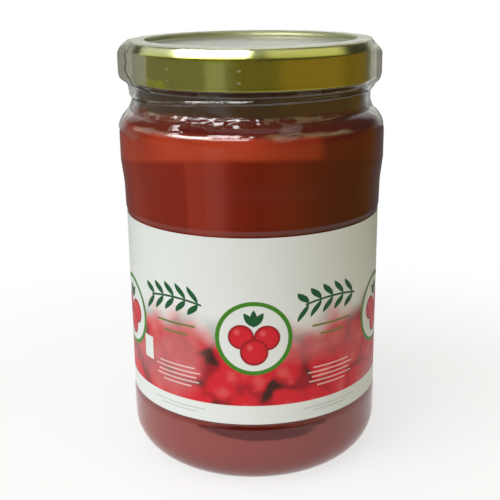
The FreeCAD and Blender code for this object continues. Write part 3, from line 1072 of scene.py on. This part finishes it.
@dataclass(frozen=True)
class PrintedPaper:
    """Coated label paper, offset printed: soft red fruit below, plain white above.

    Round green-ringed medallions of three red berries alternate with leaf sprigs. The eye gets a
    faint satin sheen, unevened by fibres that are drawn some ten times coarser than real ones,
    and a white strip along the foot.
    """

    paper: str = "DCE1E0"
    fruit: str = "CC1E2C"
    fruit_light: str = "D8605E"
    fruit_dark: str = "8A141E"
    fruit_gap: str = "3C1A16"
    side_bloom: str = "B8787A"
    ring: str = "3F7F1E"
    leaf: str = "17552F"
    olive: str = "6E7A3A"
    pale: str = "F2E4E2"
    small_print: str = "8A8F90"
    strip: float = 6.6
    picture_top: float = 40.0
    medallion_up: float = 30.0
    ring_outside: float = 12.6
    ring_inside: float = 11.2
    sprig_up: float = 41.5
    box_at: tuple[float, float] = (-41.0, 20.5)
    box_half: tuple[float, float] = (2.4, 3.9)
    fruit_mm: float = 9.5
    fibre_mm: float = 0.5
    swell_mm: float = 9.0
    repeats: int = 5
    roughness: float = 0.42
    sheen_of_coating: float = 0.25
    berries: tuple[tuple[float, float, float], ...] = ((-4.1, 0.6, 4.3), (4.2, 0.2, 4.4), (0.1, -4.6, 4.7))
    leaf_tilts: tuple[float, ...] = (-0.62, 0.0, 0.62)

    def material(self, label: WrapLabel) -> bpy.types.Material:
        """Makes the material.

        Args:
            label: the label that is printed.

        Returns:
            The material.
        """
        material, tree, shader = fresh_material("printed_label_paper")
        spot = round_the_jar(tree)
        per_degree = math.radians(1) * label.radius
        pitch = 360 / self.repeats * per_degree
        along = formula(tree, "angle * k", k=per_degree, **spot)
        rise = formula(tree, "up - foot", foot=label.foot, **spot)
        at_medallion = formula(tree, "wrap(along, pitch / 2, 0 - pitch / 2)", along=along, pitch=pitch)
        at_sprig = formula(tree, "wrap(along + pitch / 2, pitch / 2, 0 - pitch / 2)", along=along,
                           pitch=pitch)
        colour = self.picture(tree, along, rise)
        colour = self.sprig(tree, colour, at_sprig, rise)
        colour = self.medallion(tree, colour, at_medallion, rise)
        box = formula(tree, "fade(max(abs(x - left) - wide, abs(r - up) - tall), 0.25, 0)", x=along, r=rise,
                      left=self.box_at[0], up=self.box_at[1], wide=self.box_half[0], tall=self.box_half[1])
        colour = painted(tree, colour, (self.paper, box))
        fibres = put(tree, "ShaderNodeTexNoise", pattern(spot["place"], self.fibre_mm, Detail=4.0))
        slow = put(tree, "ShaderNodeTexNoise", pattern(spot["place"], self.swell_mm))
        rough = formula(tree, "base + (n - 0.5) * 0.15", base=self.roughness, n=fibres)
        height = formula(tree, "n * 0.06 + slow * 0.5", n=fibres, slow=slow)
        bump = put(tree, "ShaderNodeBump", {"Height": height, "Strength": 0.3, "Distance": 0.2 * MM})
        feed(tree, shader, {"Base Color": colour, "Roughness": rough,
                            "Specular IOR Level": self.sheen_of_coating, "Normal": bump})
        return material

    def picture(self, tree: bpy.types.NodeTree, along: Feed, rise: Feed) -> Feed:
        """Prints the soft heap of red fruit, which fades out upwards.

        Args:
            tree: the label's tree.
            along: mm round the label from its front.
            rise: mm up the label.

        Returns:
            The colour.
        """
        flat = put(tree, "ShaderNodeCombineXYZ", {0: along, 1: rise, 2: 3.0})
        warp = put(tree, "ShaderNodeTexNoise", {"Vector": flat, "Scale": 0.09, "Detail": 1.0})
        sides = put(tree, "ShaderNodeTexNoise", {"Vector": flat, "Scale": 0.03, "Detail": 0.0})
        bend = put(tree, "ShaderNodeTexNoise", {"Vector": flat, "Scale": 0.16, "Detail": 1.0})
        bent = put(tree, "ShaderNodeVectorMath", {0: bend.outputs["Color"], 1: (7, 7, 0), 2: flat},
                   operation="MULTIPLY_ADD")
        lit = put(tree, "ShaderNodeVectorMath", {0: bent, 1: (0, 2.2, 0)}, operation="ADD")
        cells = {"Scale": 1 / self.fruit_mm, "Smoothness": 0.35, "Randomness": 0.85}
        away, from_light = [put(tree, "ShaderNodeTexVoronoi", {"Vector": at, **cells},
                                voronoi_dimensions="2D", feature="SMOOTH_F1") for at in (bent, lit)]
        heap = painted(tree, self.fruit,
                       (self.fruit_dark, "fade(d, 0.4, 0.7) * 0.9"),
                       (self.fruit_gap, "fade(d, 0.58, 0.72) * fade(w, 0.44, 0.54)"),
                       (self.fruit_light, "fade(lit, 0.38, 0.05) * 0.55"),
                       (self.side_bloom, "fade(s, 0.5, 0.68) * 0.6"),
                       d=away, lit=from_light, w=warp, s=sides)
        fade_out = formula(tree, "fade(rise, strip - 0.1, strip + 0.1)"
                                 " * fade(rise + (w - 0.5) * 16, top, top - 13)",
                           rise=rise, strip=self.strip, w=warp, top=self.picture_top)
        return painted(tree, self.paper, (heap, fade_out))

    def medallion(self, tree: bpy.types.NodeTree, ground: Feed, x: Feed, rise: Feed) -> Feed:
        """Prints a green ring round three red berries under a leaf.

        Args:
            tree: the label's tree.
            ground: the colour below.
            x: mm from the medallion's middle.
            rise: mm up the label.

        Returns:
            The colour.
        """
        y = formula(tree, "rise - middle", rise=rise, middle=self.medallion_up)
        far = formula(tree, "sqrt(x * x + y * y)", x=x, y=y)
        colour = painted(tree, ground, (self.ring, "fade(r, outside, outside - 0.2)"),
                         (self.paper, "fade(r, inside, inside - 0.2)"), r=far,
                         outside=self.ring_outside, inside=self.ring_inside)
        for cx, cy, size in self.berries:
            u, v = formula(tree, "x - cx", x=x, cx=cx), formula(tree, "y - cy", y=y, cy=cy)
            away = formula(tree, "sqrt(u * u + v * v)", u=u, v=v)
            shine = formula(tree, "sqrt(pow(u + 1.3, 2) + pow(v - 1.6, 2))", u=u, v=v)
            colour = painted(tree, colour, (self.fruit_dark, "fade(away, size, size - 0.25)"),
                             (self.fruit, "fade(away, size - 0.2, size - 1.4)"),
                             (self.fruit_light, "fade(shine, 1.5, 0.2) * 0.8"),
                             away=away, size=size, shine=shine)
        for tilt in self.leaf_tilts:
            turned = {"x": x, "y": y, "c": math.cos(tilt), "s": math.sin(tilt)}
            u = formula(tree, "x * c + (y - 4.2) * s", **turned)
            v = formula(tree, "(y - 4.2) * c - x * s - 2.6", **turned)
            colour = painted(tree, colour, (self.leaf, "fade(abs(u) / 1.15 + pow(v / 2.9, 2), 1.04, 0.96)"),
                             u=u, v=v)
        return colour

    def sprig(self, tree: bpy.types.NodeTree, ground: Feed, x: Feed, rise: Feed) -> Feed:
        """Prints a leaf sprig over two thin rules, and pale rules low on the picture.

        Args:
            tree: the label's tree.
            ground: the colour below.
            x: mm from the sprig's middle.
            rise: mm up the label.

        Returns:
            The colour.
        """
        y = formula(tree, "rise - middle + x * x * 0.012", rise=rise, middle=self.sprig_up, x=x)
        lean = formula(tree, "x + abs(y) * 0.8", x=x, y=y)
        u = formula(tree, "wrap(lean, 2.3, 0 - 2.3)", lean=lean)
        leaves = formula(tree, "fade(abs(u) / 1.3 + pow((abs(y) - 2.5) / 2.4, 2), 1.05, 0.95)"
                               " * fade(abs(lean), 11.5, 11.4)", u=u, y=y, lean=lean)
        stem = formula(tree, "fade(abs(y), 0.45, 0.25) * fade(abs(x), 10.5, 10.3)", y=y, x=x)
        colour = painted(tree, ground, (self.leaf, "max(a, b)"), a=leaves, b=stem)
        rules = [(self.olive, high, half, 0.43, 1.0) for high, half in ((32.6, 8.0), (29.4, 5.0))]
        rules += [(self.pale, 18.0 - 1.6 * i, half, 0.3, 0.6)
                  for i, half in enumerate((7.5, 9.5, 8.0, 9.0, 6.0))]
        rules += [(self.small_print, 4.1 - 1.3 * i, half, 0.24, 0.45) for i, half in enumerate((11.0, 7.5))]
        for ink, high, half, thick, share in rules:
            colour = painted(tree, colour, (
                ink, "fade(abs(r - high), thick, thick * 0.6) * fade(abs(x), half, half - 0.2) * share"),
                r=rise, high=high, x=x, half=half, thick=thick, share=share)
        return colour


# ---------------------------------------------------------------- the shrink film


@dataclass(frozen=True)
class Facet:
    """A flat, tilted patch in the film that glints.

    Its middle's angle and height, its half width in degrees and half height in mm, and how far
    its middle is from the axis.
    """

    angle: float
    up: float
    wide: float
    tall: float
    across: float


@dataclass
class ShrinkFilm:
    """The clear tamper film over the cap's edge, the neck and the shoulder, with two flat ears.

    The hem and the pinched fold are (angle, height) and the ears' outlines (height, distance
    from the axis). loose_up and lively_round give how much the film puckers at a height and an
    angle, snug_up and snug_round how closely it lies against the glass there.
    """

    jar: GlassJar
    film: float = 0.12
    clear_of_glass: float = 0.2
    flap: float = 35.4
    crest: float = 40.07
    top: float = 144.894
    low: float = 114.0
    pinned: float = 122.0
    crease_up: float = 128.4
    crease_out: float = 0.5
    crease_wide: float = 0.55
    flag_at: Point = (16, 120.6)
    flag_size: Point = (4.5, 2.2)
    flag_out: float = 0.6
    ear_least: float = 0.12
    ear_most: float = 4.0
    steps: int = 400
    hem: tuple[Point, ...] = (
        (-180, 117.8), (-150, 118.5), (-120, 117.6), (-90, 117.4), (-68.5, 116.7), (-54.4, 115.2),
        (-50, 117.2), (-43, 119.0), (-37, 118.3), (-25, 117.2), (-22, 118.0), (-12.6, 118.8),
        (-1.3, 119.2), (3.7, 118.1), (12.5, 117.3), (20, 118.6), (45, 118.2), (75, 117.2), (105, 118.4),
        (150, 117.4), (180, 117.8))
    pinch: tuple[Point, ...] = (
        (-75, 142), (-77, 140.8), (-73, 138.6), (-77, 136.2), (-73, 134.4), (-69, 133.6), (-66, 132.3),
        (-58, 131.0), (-51, 130.4))
    pinch_out: float = 0.45
    pinch_wide: float = 0.5
    pinch_radius: float = 42.0
    facet_slope: float = 0.47
    facets: tuple[Facet, ...] = (
        Facet(-32.5, 121.0, 3.3, 1.3, 43.6), Facet(-20.5, 122.8, 2.2, 0.7, 41.35),
        Facet(-13.5, 122.7, 2.9, 0.8, 41.4), Facet(-6.0, 122.0, 2.9, 0.8, 42.1),
        Facet(-40, 123.3, 4.5, 0.45, 40.95), Facet(-26.5, 123.4, 2.2, 0.45, 40.95))
    loose_up: tuple[Point, ...] = (
        (114, 0.1), (118, 0.12), (119.5, 0.3), (121, 0.5), (124, 0.5), (127, 0.3), (131, 0.25),
        (132.5, 0.05), (145, 0.03))
    lively_round: tuple[Point, ...] = (
        (-180, 0.4), (-60, 0.5), (-48, 1), (2, 1), (20, 0.35), (40, 0.12), (180, 0.4))
    snug_up: tuple[Point, ...] = ((122.5, 1), (125, 0))
    snug_round: tuple[Point, ...] = ((-180, 0.9), (-120, 0.9), (-80, 0), (25, 0), (55, 0.9), (180, 0.9))
    left_ear: tuple[Point, ...] = (
        (116, 45.1), (118.3, 44.6), (120.5, 43.3), (122.3, 41.8), (123.4, 41.0), (125, 40.4), (126.4, 40.6),
        (127.4, 41.1), (128.4, 41.5), (129.6, 41.6), (130.5, 42.1), (131.4, 43.6), (132.4, 44.5),
        (134, 44.8), (140, 44.8), (141.3, 44.5), (142.3, 44.0), (143.3, 43.1), (144.2, 41.9), (144.9, 40.9))
    right_ear: tuple[Point, ...] = (
        (116, 44.0), (118.3, 43.5), (120.5, 42.2), (122.3, 41.1), (123.4, 40.6), (124.4, 40.3),
        (127.4, 40.3), (128.4, 40.9), (129.4, 42.0), (130.4, 43.1), (131.4, 43.7), (133, 44.1),
        (139.4, 44.1), (140.4, 43.9), (141.3, 43.3), (142.3, 42.3), (143.3, 41.3), (144.2, 40.6),
        (144.9, 40.2))

    def outline(self) -> list[Point]:
        """Gives the film's outline, fine where it wrinkles and coarse up the cap.

        Returns:
            Points (across, up) in mm, from the hem up and in over the cap's crest.
        """
        loose = rounded([Corner(45.18, self.low), Corner(45.18, 119.6, 7.2), Corner(40.95, 122.2, 0.6),
                         Corner(40.05, 124.2, 0.6), Corner(39.85, 130.0, 2.0), Corner(41.64, 131.9, 0.7),
                         Corner(41.64, 133.0)], stretch=0.36)
        tight = rounded([Corner(41.64, 133.0), Corner(41.64, 140.33, 1.5), Corner(41.39, 141.83, 2),
                         Corner(self.crest, self.top, 0.9), Corner(self.flap, self.top)],
                        turn=12, stretch=0.9)
        return loose + tight[1:]

    def hang_hem(self, points: np.ndarray, angle: np.ndarray, outline: list[Point]) -> np.ndarray:
        """Draws the film's lowest part up or down to its wavy hem, along its own outline.

        Args:
            points: the film's points, in metres.
            angle: their angles from the front, in degrees.
            outline: the film's outline.

        Returns:
            The moved points.
        """
        across, up = ring_places(points)
        hem = read_off(self.hem, angle)
        drawn = self.pinned - (self.pinned - up) * (self.pinned - hem) / (self.pinned - self.low)
        rising = [p for p in outline if p[1] < self.pinned + 0.5]
        lower = up < self.pinned
        wide = np.interp(drawn, [p[1] for p in rising], [p[0] for p in rising])
        points = push_out(points, np.where(lower, wide - across, 0) * MM)
        points[:, 2] = np.where(lower, drawn, up) * MM
        return points

    def cling(self, points: np.ndarray, angle: np.ndarray) -> np.ndarray:
        """Draws the film against the glass, below the neck and away from its loose front left.

        Args:
            points: the film's points, in metres.
            angle: their angles from the front, in degrees.

        Returns:
            The moved points.
        """
        across, up = ring_places(points)
        wall = [p for p in rounded(self.jar.outside(), stretch=2.5) if 90 < p[1] < 140]
        skin = np.interp(up, [p[1] for p in wall], [p[0] for p in wall]) + self.clear_of_glass
        snug = read_off(self.snug_round, angle) * read_off(self.snug_up, up)
        return push_out(points, -snug * np.maximum(across - skin, 0) * MM)

    def ears(self, points: np.ndarray) -> np.ndarray:
        """Gives how far the two flat-folded ears stand out at the sides.

        Args:
            points: the film's points, in metres.

        Returns:
            One distance in mm for each point.
        """
        across, up = ring_places(points)
        tip = np.where(points[:, 0] < 0, read_off(self.left_ear, up), read_off(self.right_ear, up))
        inward = np.clip((across - self.flap) / (self.crest - self.flap), 0, 1)
        reach = np.maximum(tip - across, self.ear_least) * np.where(up > self.top - 0.2, inward, 1)
        reach = np.minimum(reach, self.ear_most)
        side = np.arctan2(np.abs(points[:, 1]), np.abs(points[:, 0]))
        tent = np.arccos(across / (across + reach))
        return np.where(side < tent, across / np.cos(tent - side) - across, 0.0)

    def pinched(self, angle: np.ndarray, up: np.ndarray) -> np.ndarray:
        """Gives where the film is pinched to a fold, which its material tints dark as painted shade.

        Args:
            angle: the points' angles from the front, in degrees.
            up: their heights, in mm.

        Returns:
            A share from 0 to 1 for each point.
        """
        away = np.full(len(up), np.inf)
        along = np.radians(angle) * self.pinch_radius
        for (a, low), (b, high) in zip(self.pinch, self.pinch[1:]):
            start = np.array([math.radians(a) * self.pinch_radius, low])
            run = np.array([math.radians(b) * self.pinch_radius, high]) - start
            share = ((along - start[0]) * run[0] + (up - start[1]) * run[1]) / (run @ run)
            near = start[:, None] + run[:, None] * np.clip(share, 0, 1)
            away = np.minimum(away, np.hypot(along - near[0], up - near[1]))
        return np.exp(-(away / self.pinch_wide) ** 2)

    def wrinkles(self, points: np.ndarray, angle: np.ndarray, up: np.ndarray) -> np.ndarray:
        """Gives how far the film's puckers, its crease and its raised flag stand out.

        Args:
            points: the film's points, in metres.
            angle: their angles from the front, in degrees.
            up: their heights, in mm.

        Returns:
            One distance in mm for each point.
        """
        slow = np.abs(ripples(points * (1, 1, 2.2), 140, 1.3))
        fast = np.abs(ripples(points * (1, 1, 1.6), 420, 5.9))
        spread = 0.35 + 0.65 * read_off(self.lively_round, angle)
        puckers = (slow + 0.4 * fast) * read_off(self.loose_up, up) * spread
        wander = 0.5 * np.sin(np.radians(angle * 1.7 + 20)) - 1.2 * np.clip(-angle - 25, 0, 30) / 30
        crease = self.crease_out * np.exp(-((up - self.crease_up - wander) / self.crease_wide) ** 2)
        aside = (angle - self.flag_at[0]) / self.flag_size[0]
        above = (up - self.flag_at[1]) / self.flag_size[1]
        flag = self.flag_out * np.exp(-aside ** 2 - above ** 2)
        return puckers + crease + flag

    def flatten(self, points: np.ndarray, angle: np.ndarray, folds: np.ndarray) -> np.ndarray:
        """Flattens the folds to the facets where those stand further out.

        Args:
            points: the film's points, in metres.
            angle: their angles from the front, in degrees.
            folds: how far each point stands out so far, in mm.

        Returns:
            The new distances.
        """
        across, up = ring_places(points)
        for facet in self.facets:
            aside, above = angle - facet.angle, up - facet.up
            inside = np.clip((1 - np.abs(aside) / facet.wide) * 4, 0, 1)
            inside *= np.clip((1 - np.abs(above - aside * 0.08) / facet.tall) * 4, 0, 1)
            flat = facet.across - self.facet_slope * above + 0.1 * ripples(points, 260, facet.angle)
            pressed = np.maximum(folds, folds + (flat - across - folds) * inside)
            folds = np.where(inside > 0, pressed, folds)
        return folds

    def build(self, finish: "ShrinkPlastic") -> bpy.types.Object:
        """Turns the film, sets its wavy hem, folds its ears, wrinkles it and dresses it.

        Args:
            finish: the film's plastic.

        Returns:
            The finished piece.
        """
        outline = self.outline()
        piece = lathe("shrink_film", outline, self.steps)
        points = coordinates(piece)
        angle = np.degrees(np.arctan2(points[:, 0], -points[:, 1]))
        points = self.hang_hem(points, angle, outline)
        points = self.cling(points, angle)
        up = ring_places(points)[1]
        pinched = self.pinched(angle, up)
        folds = self.wrinkles(points, angle, up) + self.pinch_out * pinched
        folds = self.flatten(points, angle, folds)
        move_to(piece, push_out(points, (self.ears(points) + folds) * MM))
        shade = piece.data.attributes.new("pinched", "FLOAT", "POINT")
        shade.data.foreach_set("value", pinched)
        apply_modifier(piece, "SOLIDIFY", thickness=self.film * MM, offset=-1.0)
        bpy.ops.object.shade_smooth_by_angle(angle=math.radians(50))
        wear(piece, "shrink_band", Slot.CLEAR_FILM, finish.material())
        return piece


@dataclass(frozen=True)
class ShrinkPlastic:
    """Clear shrink film of PVC, warmed until it grips.

    It greys what is behind it where it lies double, is a little milky along the fold beside its
    left ear, and its small wrinkles glint. Its pinched fold is tinted dark as painted shade.
    """

    ior: float = 1.5
    clear: str = "F4F5F2"
    doubled: str = "C4C4B8"
    # painted shade: the dark tint along the pinched fold
    fold_shade: str = "4C4A38"
    roughness: float = 0.03
    milkiness: float = 0.065
    clarity: float = 0.9
    pucker_mm: float = 2.2

    def material(self) -> bpy.types.Material:
        """Makes the material.

        Returns:
            The material.
        """
        material, tree, shader = fresh_material("clear_shrink_film")
        spot = round_the_jar(tree)
        pucker = put(tree, "ShaderNodeTexNoise", pattern(spot["place"], self.pucker_mm, Detail=2.0))
        on_ear = formula(tree, "max(fade(abs(angle + 90), 22, 14), fade(abs(angle - 90), 14, 9))"
                               " * fade(up, 130, 132)", **spot)
        fold = formula(tree, "fade(angle, -50, -52) * fade(angle, -125, -115) * fade(up, 131.5, 133)"
                             " * fade(up, 142.4, 141)", **spot)
        flag = formula(tree, "fade(abs(angle - 15 - (up - 120) * 1.2), 5, 4) * fade(up, 117.2, 117.8)"
                             " * fade(up, 122.4, 121.8)", **spot)
        on_top = formula(tree, "fade(up, 143.6, 144.4) * 0.6", **spot)
        clear = formula(tree, "1 - milky * max(max(fold, ear), max(flag * 0.45, top))",
                        milky=self.milkiness, fold=fold, ear=on_ear, flag=flag, top=on_top)
        pinched = put(tree, "ShaderNodeAttribute", attribute_name="pinched").outputs["Fac"]
        # painted shade: the pinched fold is tinted dark
        tint = painted(tree, self.clear, (self.doubled, on_ear),
                       (self.fold_shade, "fade(p, 0.35, 0.7) * 0.9"), p=pinched)
        bump = put(tree, "ShaderNodeBump", {"Height": pucker, "Strength": 0.25, "Distance": 0.15 * MM})
        feed(tree, shader, {"Base Color": tint, "Transmission Weight": clear, "IOR": self.ior,
                            "Roughness": self.roughness, "Normal": bump})
        let_light_in(tree, shader, self.clarity)
        return material


@dataclass
class TearStrip:
    """Two upright rows of pricked holes in the film, each hole with a raised, whitened rim."""

    radius: float = 41.66
    heights: tuple[float, float] = (138.2, 134.7)
    angles: tuple[float, float] = (-37.7, -4.9)
    wide: float = 1.1
    tall: float = 0.55
    rim: float = 0.16
    rim_flat: float = 0.7

    def build(self, finish: "WhitenedRim") -> bpy.types.Object:
        """Shapes one rim, copies it round the cap and joins the copies.

        Args:
            finish: the rims' plastic.

        Returns:
            The finished piece.
        """
        bpy.ops.object.select_all(action="DESELECT")
        bpy.ops.mesh.primitive_torus_add(major_segments=16, minor_segments=6,
                                         major_radius=(self.wide - self.rim) / 2 * MM,
                                         minor_radius=self.rim / 2 * MM)
        piece = bpy.context.object
        piece.name = "tear_strip_holes"
        bpy.ops.object.mode_set(mode="EDIT")
        bpy.ops.mesh.select_all(action="SELECT")
        bpy.ops.transform.resize(value=(1, self.tall / self.wide, self.rim_flat), center_override=(0, 0, 0))
        bpy.ops.object.mode_set(mode="OBJECT")
        flat = coordinates(piece)
        spots = [(angle, up) for angle in self.angles for up in self.heights]
        copies = [piece]
        for _ in spots[1:]:
            copy = piece.copy()
            copy.data = piece.data.copy()
            bpy.context.scene.collection.objects.link(copy)
            copies.append(copy)
        for copy, (degrees, up) in zip(copies, spots):
            angle = math.radians(degrees)
            turn = Matrix.Rotation(angle, 3, "Z") @ Matrix.Rotation(math.pi / 2, 3, "X")
            centre = Vector((math.sin(angle) * self.radius, -math.cos(angle) * self.radius, up)) * MM
            move_to(copy, np.array([turn @ Vector(p) + centre for p in flat]))
            copy.select_set(True)
        bpy.context.view_layer.objects.active = piece
        bpy.ops.object.join()
        bpy.ops.object.shade_smooth()
        wear(piece, None, Slot.CLEAR_FILM, finish.material())
        return piece


@dataclass(frozen=True)
class WhitenedRim:
    """PVC film whitened by stress where it was pricked: pale, milky and a little rough."""

    milk: str = "D8D8C4"
    clear: str = "B0B094"
    roughness: float = 0.35
    clarity: float = 0.35
    patch_mm: float = 0.6

    def material(self) -> bpy.types.Material:
        """Makes the material.

        Returns:
            The material.
        """
        material, tree, shader = fresh_material("stress_whitened_film")
        place = round_the_jar(tree)["place"]
        patchy = put(tree, "ShaderNodeTexNoise", pattern(place, self.patch_mm, Detail=1.0))
        colour = painted(tree, self.clear, (self.milk, "fade(n, 0.4, 0.6)"), n=patchy)
        feed(tree, shader, {"Base Color": colour, "Transmission Weight": self.clarity,
                            "Roughness": self.roughness})
        return material


# ---------------------------------------------------------------- stage, light and camera


@dataclass(frozen=True)
class Lamp:
    """A soft box, turned to the jar and not mirrored in it: name, place, size, power and colour."""

    name: str
    place: tuple[float, float, float]
    size: float
    watts: float
    colour: str
    aim: tuple[float, float, float] = (0, 0, 0.08)

    def build(self) -> None:
        """Hangs the lamp and turns it to the jar."""
        data = bpy.data.lights.new(self.name, "AREA")
        data.shape = "RECTANGLE"
        data.size = data.size_y = self.size
        data.energy = self.watts
        data.color = srgb(self.colour)[:3]
        lamp = bpy.data.objects.new(self.name, data)
        bpy.context.scene.collection.objects.link(lamp)
        lamp.location = self.place
        away = Vector(self.aim) - Vector(self.place)
        lamp.rotation_euler = away.to_track_quat("-Z", "Y").to_euler()
        lamp.visible_glossy = False
        lamp.visible_transmission = False


@dataclass(frozen=True)
class Wall:
    """A patch of the room that the jar mirrors: its name, its linear light and where it is.

    The last is a formula in the direction's angle from the front in degrees, a, its rise z,
    which is 1 straight up, and the height of the windows' middle, h.
    """

    name: str
    light: tuple[float, float, float]
    where: str


@dataclass
class Studio:
    """The white floor, the room that the jar mirrors, the soft boxes and the camera."""

    floor_radius: float = 0.30
    floor_grey: str = "F2F2F2"
    front_light: tuple[float, float, float] = (0.18, 0.145, 0.05)
    lens: float = 66.91
    sensor: float = 36.0
    camera_place: tuple[float, float, float] = (0, -0.31682, 0.16731)
    camera_down: float = math.radians(16.92)
    camera_turn: float = math.radians(0.183)
    camera_lean: float = 0.0112
    lamps: list[Lamp] = field(default_factory=lambda: [
        Lamp("key_left", (-0.85, -0.75, 0.60), 0.8, 3.4, "F6F7FF"),
        Lamp("fill_right", (0.85, -0.45, 0.45), 0.6, 0.4, "FFEAD0"),
        Lamp("overhead", (-0.10, -0.10, 0.80), 0.5, 2.6, "FFFDF6"),
    ])
    walls: list[Wall] = field(default_factory=lambda: [
        Wall("left", (0.22, 0.215, 0.17), "fade(a, -8, -24)"),
        Wall("strip", (0.37, 0.38, 0.34), "fade(a, -43, -39) * fade(a, -21, -25)"),
        Wall("right", (0.315, 0.205, 0.05), "fade(a, 18, 34)"),
        Wall("far right", (0.23, 0.15, 0.035), "fade(a, 84, 98)"),
        Wall("behind", (0.15, 0.14, 0.135), "fade(abs(a), 120, 140)"),
        Wall("upper", (0.055, 0.05, 0.045), "fade(z, 0.08, 0.24)"),
        Wall("ceiling", (0.30, 0.295, 0.28), "fade(z, 0.9, 0.95)"),
        Wall("warm wall", (0.86, 0.84, 0.42), "fade(abs(z - h), 0.13, 0.08) * fade(a, 5, 25)"
                                              " * fade(a, 108, 90)"),
        Wall("backdrop", (0.68, 0.71, 0.60), "fade(z, -0.02, 0.04) * fade(z, 0.42, 0.26)"
                                             " * fade(abs(a), 148, 162)"),
        Wall("side window", (0.85, 0.88, 0.70), "fade(abs(z - h), 0.12, 0.09) * fade(a, -128, -118)"
                                                " * fade(a, -70, -78)"),
        Wall("window", (9.0, 8.9, 8.7), "fade(abs(z - h), 0.085, 0.072) * fade(a, -82, -74)"
                                        " * fade(a, -1, -4)"),
    ])

    def lay_floor(self) -> None:
        """Lays the floor, white to the eye but for the jar's shadow."""
        bpy.ops.object.select_all(action="DESELECT")
        bpy.ops.mesh.primitive_circle_add(vertices=96, radius=self.floor_radius, fill_type="NGON")
        floor = bpy.context.object
        floor.name = "studio_floor"
        material, tree, shader = fresh_material("studio_floor_white")
        feed(tree, shader, {"Base Color": self.floor_grey, "Roughness": 0.9, "Specular IOR Level": 0.0})
        spot = round_the_jar(tree)
        path = put(tree, "ShaderNodeLightPath").outputs
        glow = formula(tree, "min(eye + gloss + clear, 1) * (0.7 + 0.3 * fade(across, 90, 240))",
                       eye=path["Is Camera Ray"], gloss=path["Is Glossy Ray"],
                       clear=path["Is Transmission Ray"], **spot)
        white = put(tree, "ShaderNodeEmission", {0: (1, 1, 1, 1), 1: 1.0})
        mixed = put(tree, "ShaderNodeMixShader", {0: glow, 1: shader, 2: white})
        rim = formula(tree, "gloss * fade(across, 100, 280)", gloss=path["Is Glossy Ray"], **spot)
        gone = put(tree, "ShaderNodeBsdfTransparent")
        melted = put(tree, "ShaderNodeMixShader", {0: rim, 1: mixed, 2: gone})
        feed(tree, tree.nodes["Material Output"], {0: melted})
        floor.data.materials.append(material)

    def paint_room(self) -> None:
        """Paints the room: white to the eye and behind the jar, grey with soft strips in front."""
        world = bpy.data.worlds.new("room")
        bpy.context.scene.world = world
        world.use_nodes = True
        tree = world.node_tree
        way = put(tree, "ShaderNodeTexCoord").outputs["Generated"]
        x, y, z = put(tree, "ShaderNodeSeparateXYZ", {0: way}).outputs
        angle = formula(tree, "degrees(atan2(x, 0 - y))", x=x, y=y)
        height = formula(tree, "0.683 - 0.17 * pow(abs(a) / 80, 2)", a=angle)
        LOG.info("room of %s", ", ".join(wall.name for wall in self.walls))
        layers = [((*wall.light, 1.0), wall.where) for wall in self.walls]
        room = painted(tree, (*self.front_light, 1.0), *layers, a=angle, z=z, h=height)
        path = put(tree, "ShaderNodeLightPath").outputs
        seen = formula(tree, "max(eye, clear * fade(abs(a), 135, 155))", eye=path["Is Camera Ray"],
                       clear=path["Is Transmission Ray"], a=angle)
        feed(tree, tree.nodes["Background"], {0: painted(tree, room, ((1.0, 1.0, 1.0, 1.0), seen))})

    def set_camera(self) -> None:
        """Sets the camera in front, a little above the cap and looking down."""
        data = bpy.data.cameras.new("camera")
        data.lens = self.lens
        data.sensor_width = self.sensor
        data.clip_start = 0.01
        camera = bpy.data.objects.new("camera", data)
        bpy.context.scene.collection.objects.link(camera)
        view = Matrix.Rotation(self.camera_turn, 4, "Z")
        view = view @ Matrix.Rotation(math.pi / 2 - self.camera_down, 4, "X")
        view = view @ Matrix.Rotation(-self.camera_lean, 4, "Z")
        camera.matrix_world = Matrix.Translation(self.camera_place) @ view
        bpy.context.scene.camera = camera

    def build(self) -> None:
        """Sets the whole stage."""
        self.lay_floor()
        self.paint_room()
        for lamp in self.lamps:
            lamp.build()
        self.set_camera()
        bpy.context.scene.view_settings.view_transform = "Standard"


def main() -> None:
    """Builds every piece in order and logs what was made."""
    logging.basicConfig(level=logging.INFO, format="%(name)s %(message)s")
    jar = GlassJar()
    jar.build(FlintGlass())
    PasteFill(jar).build(TomatoPaste(), MoistPaste())
    TwistOffCap().build(GoldLacquer())
    WrapLabel().build(PrintedPaper())
    ShrinkFilm(jar).build(ShrinkPlastic())
    TearStrip().build(WhitenedRim())
    Studio().build()
    LOG.info("boxes written")


if __name__ == "__main__":
    main()
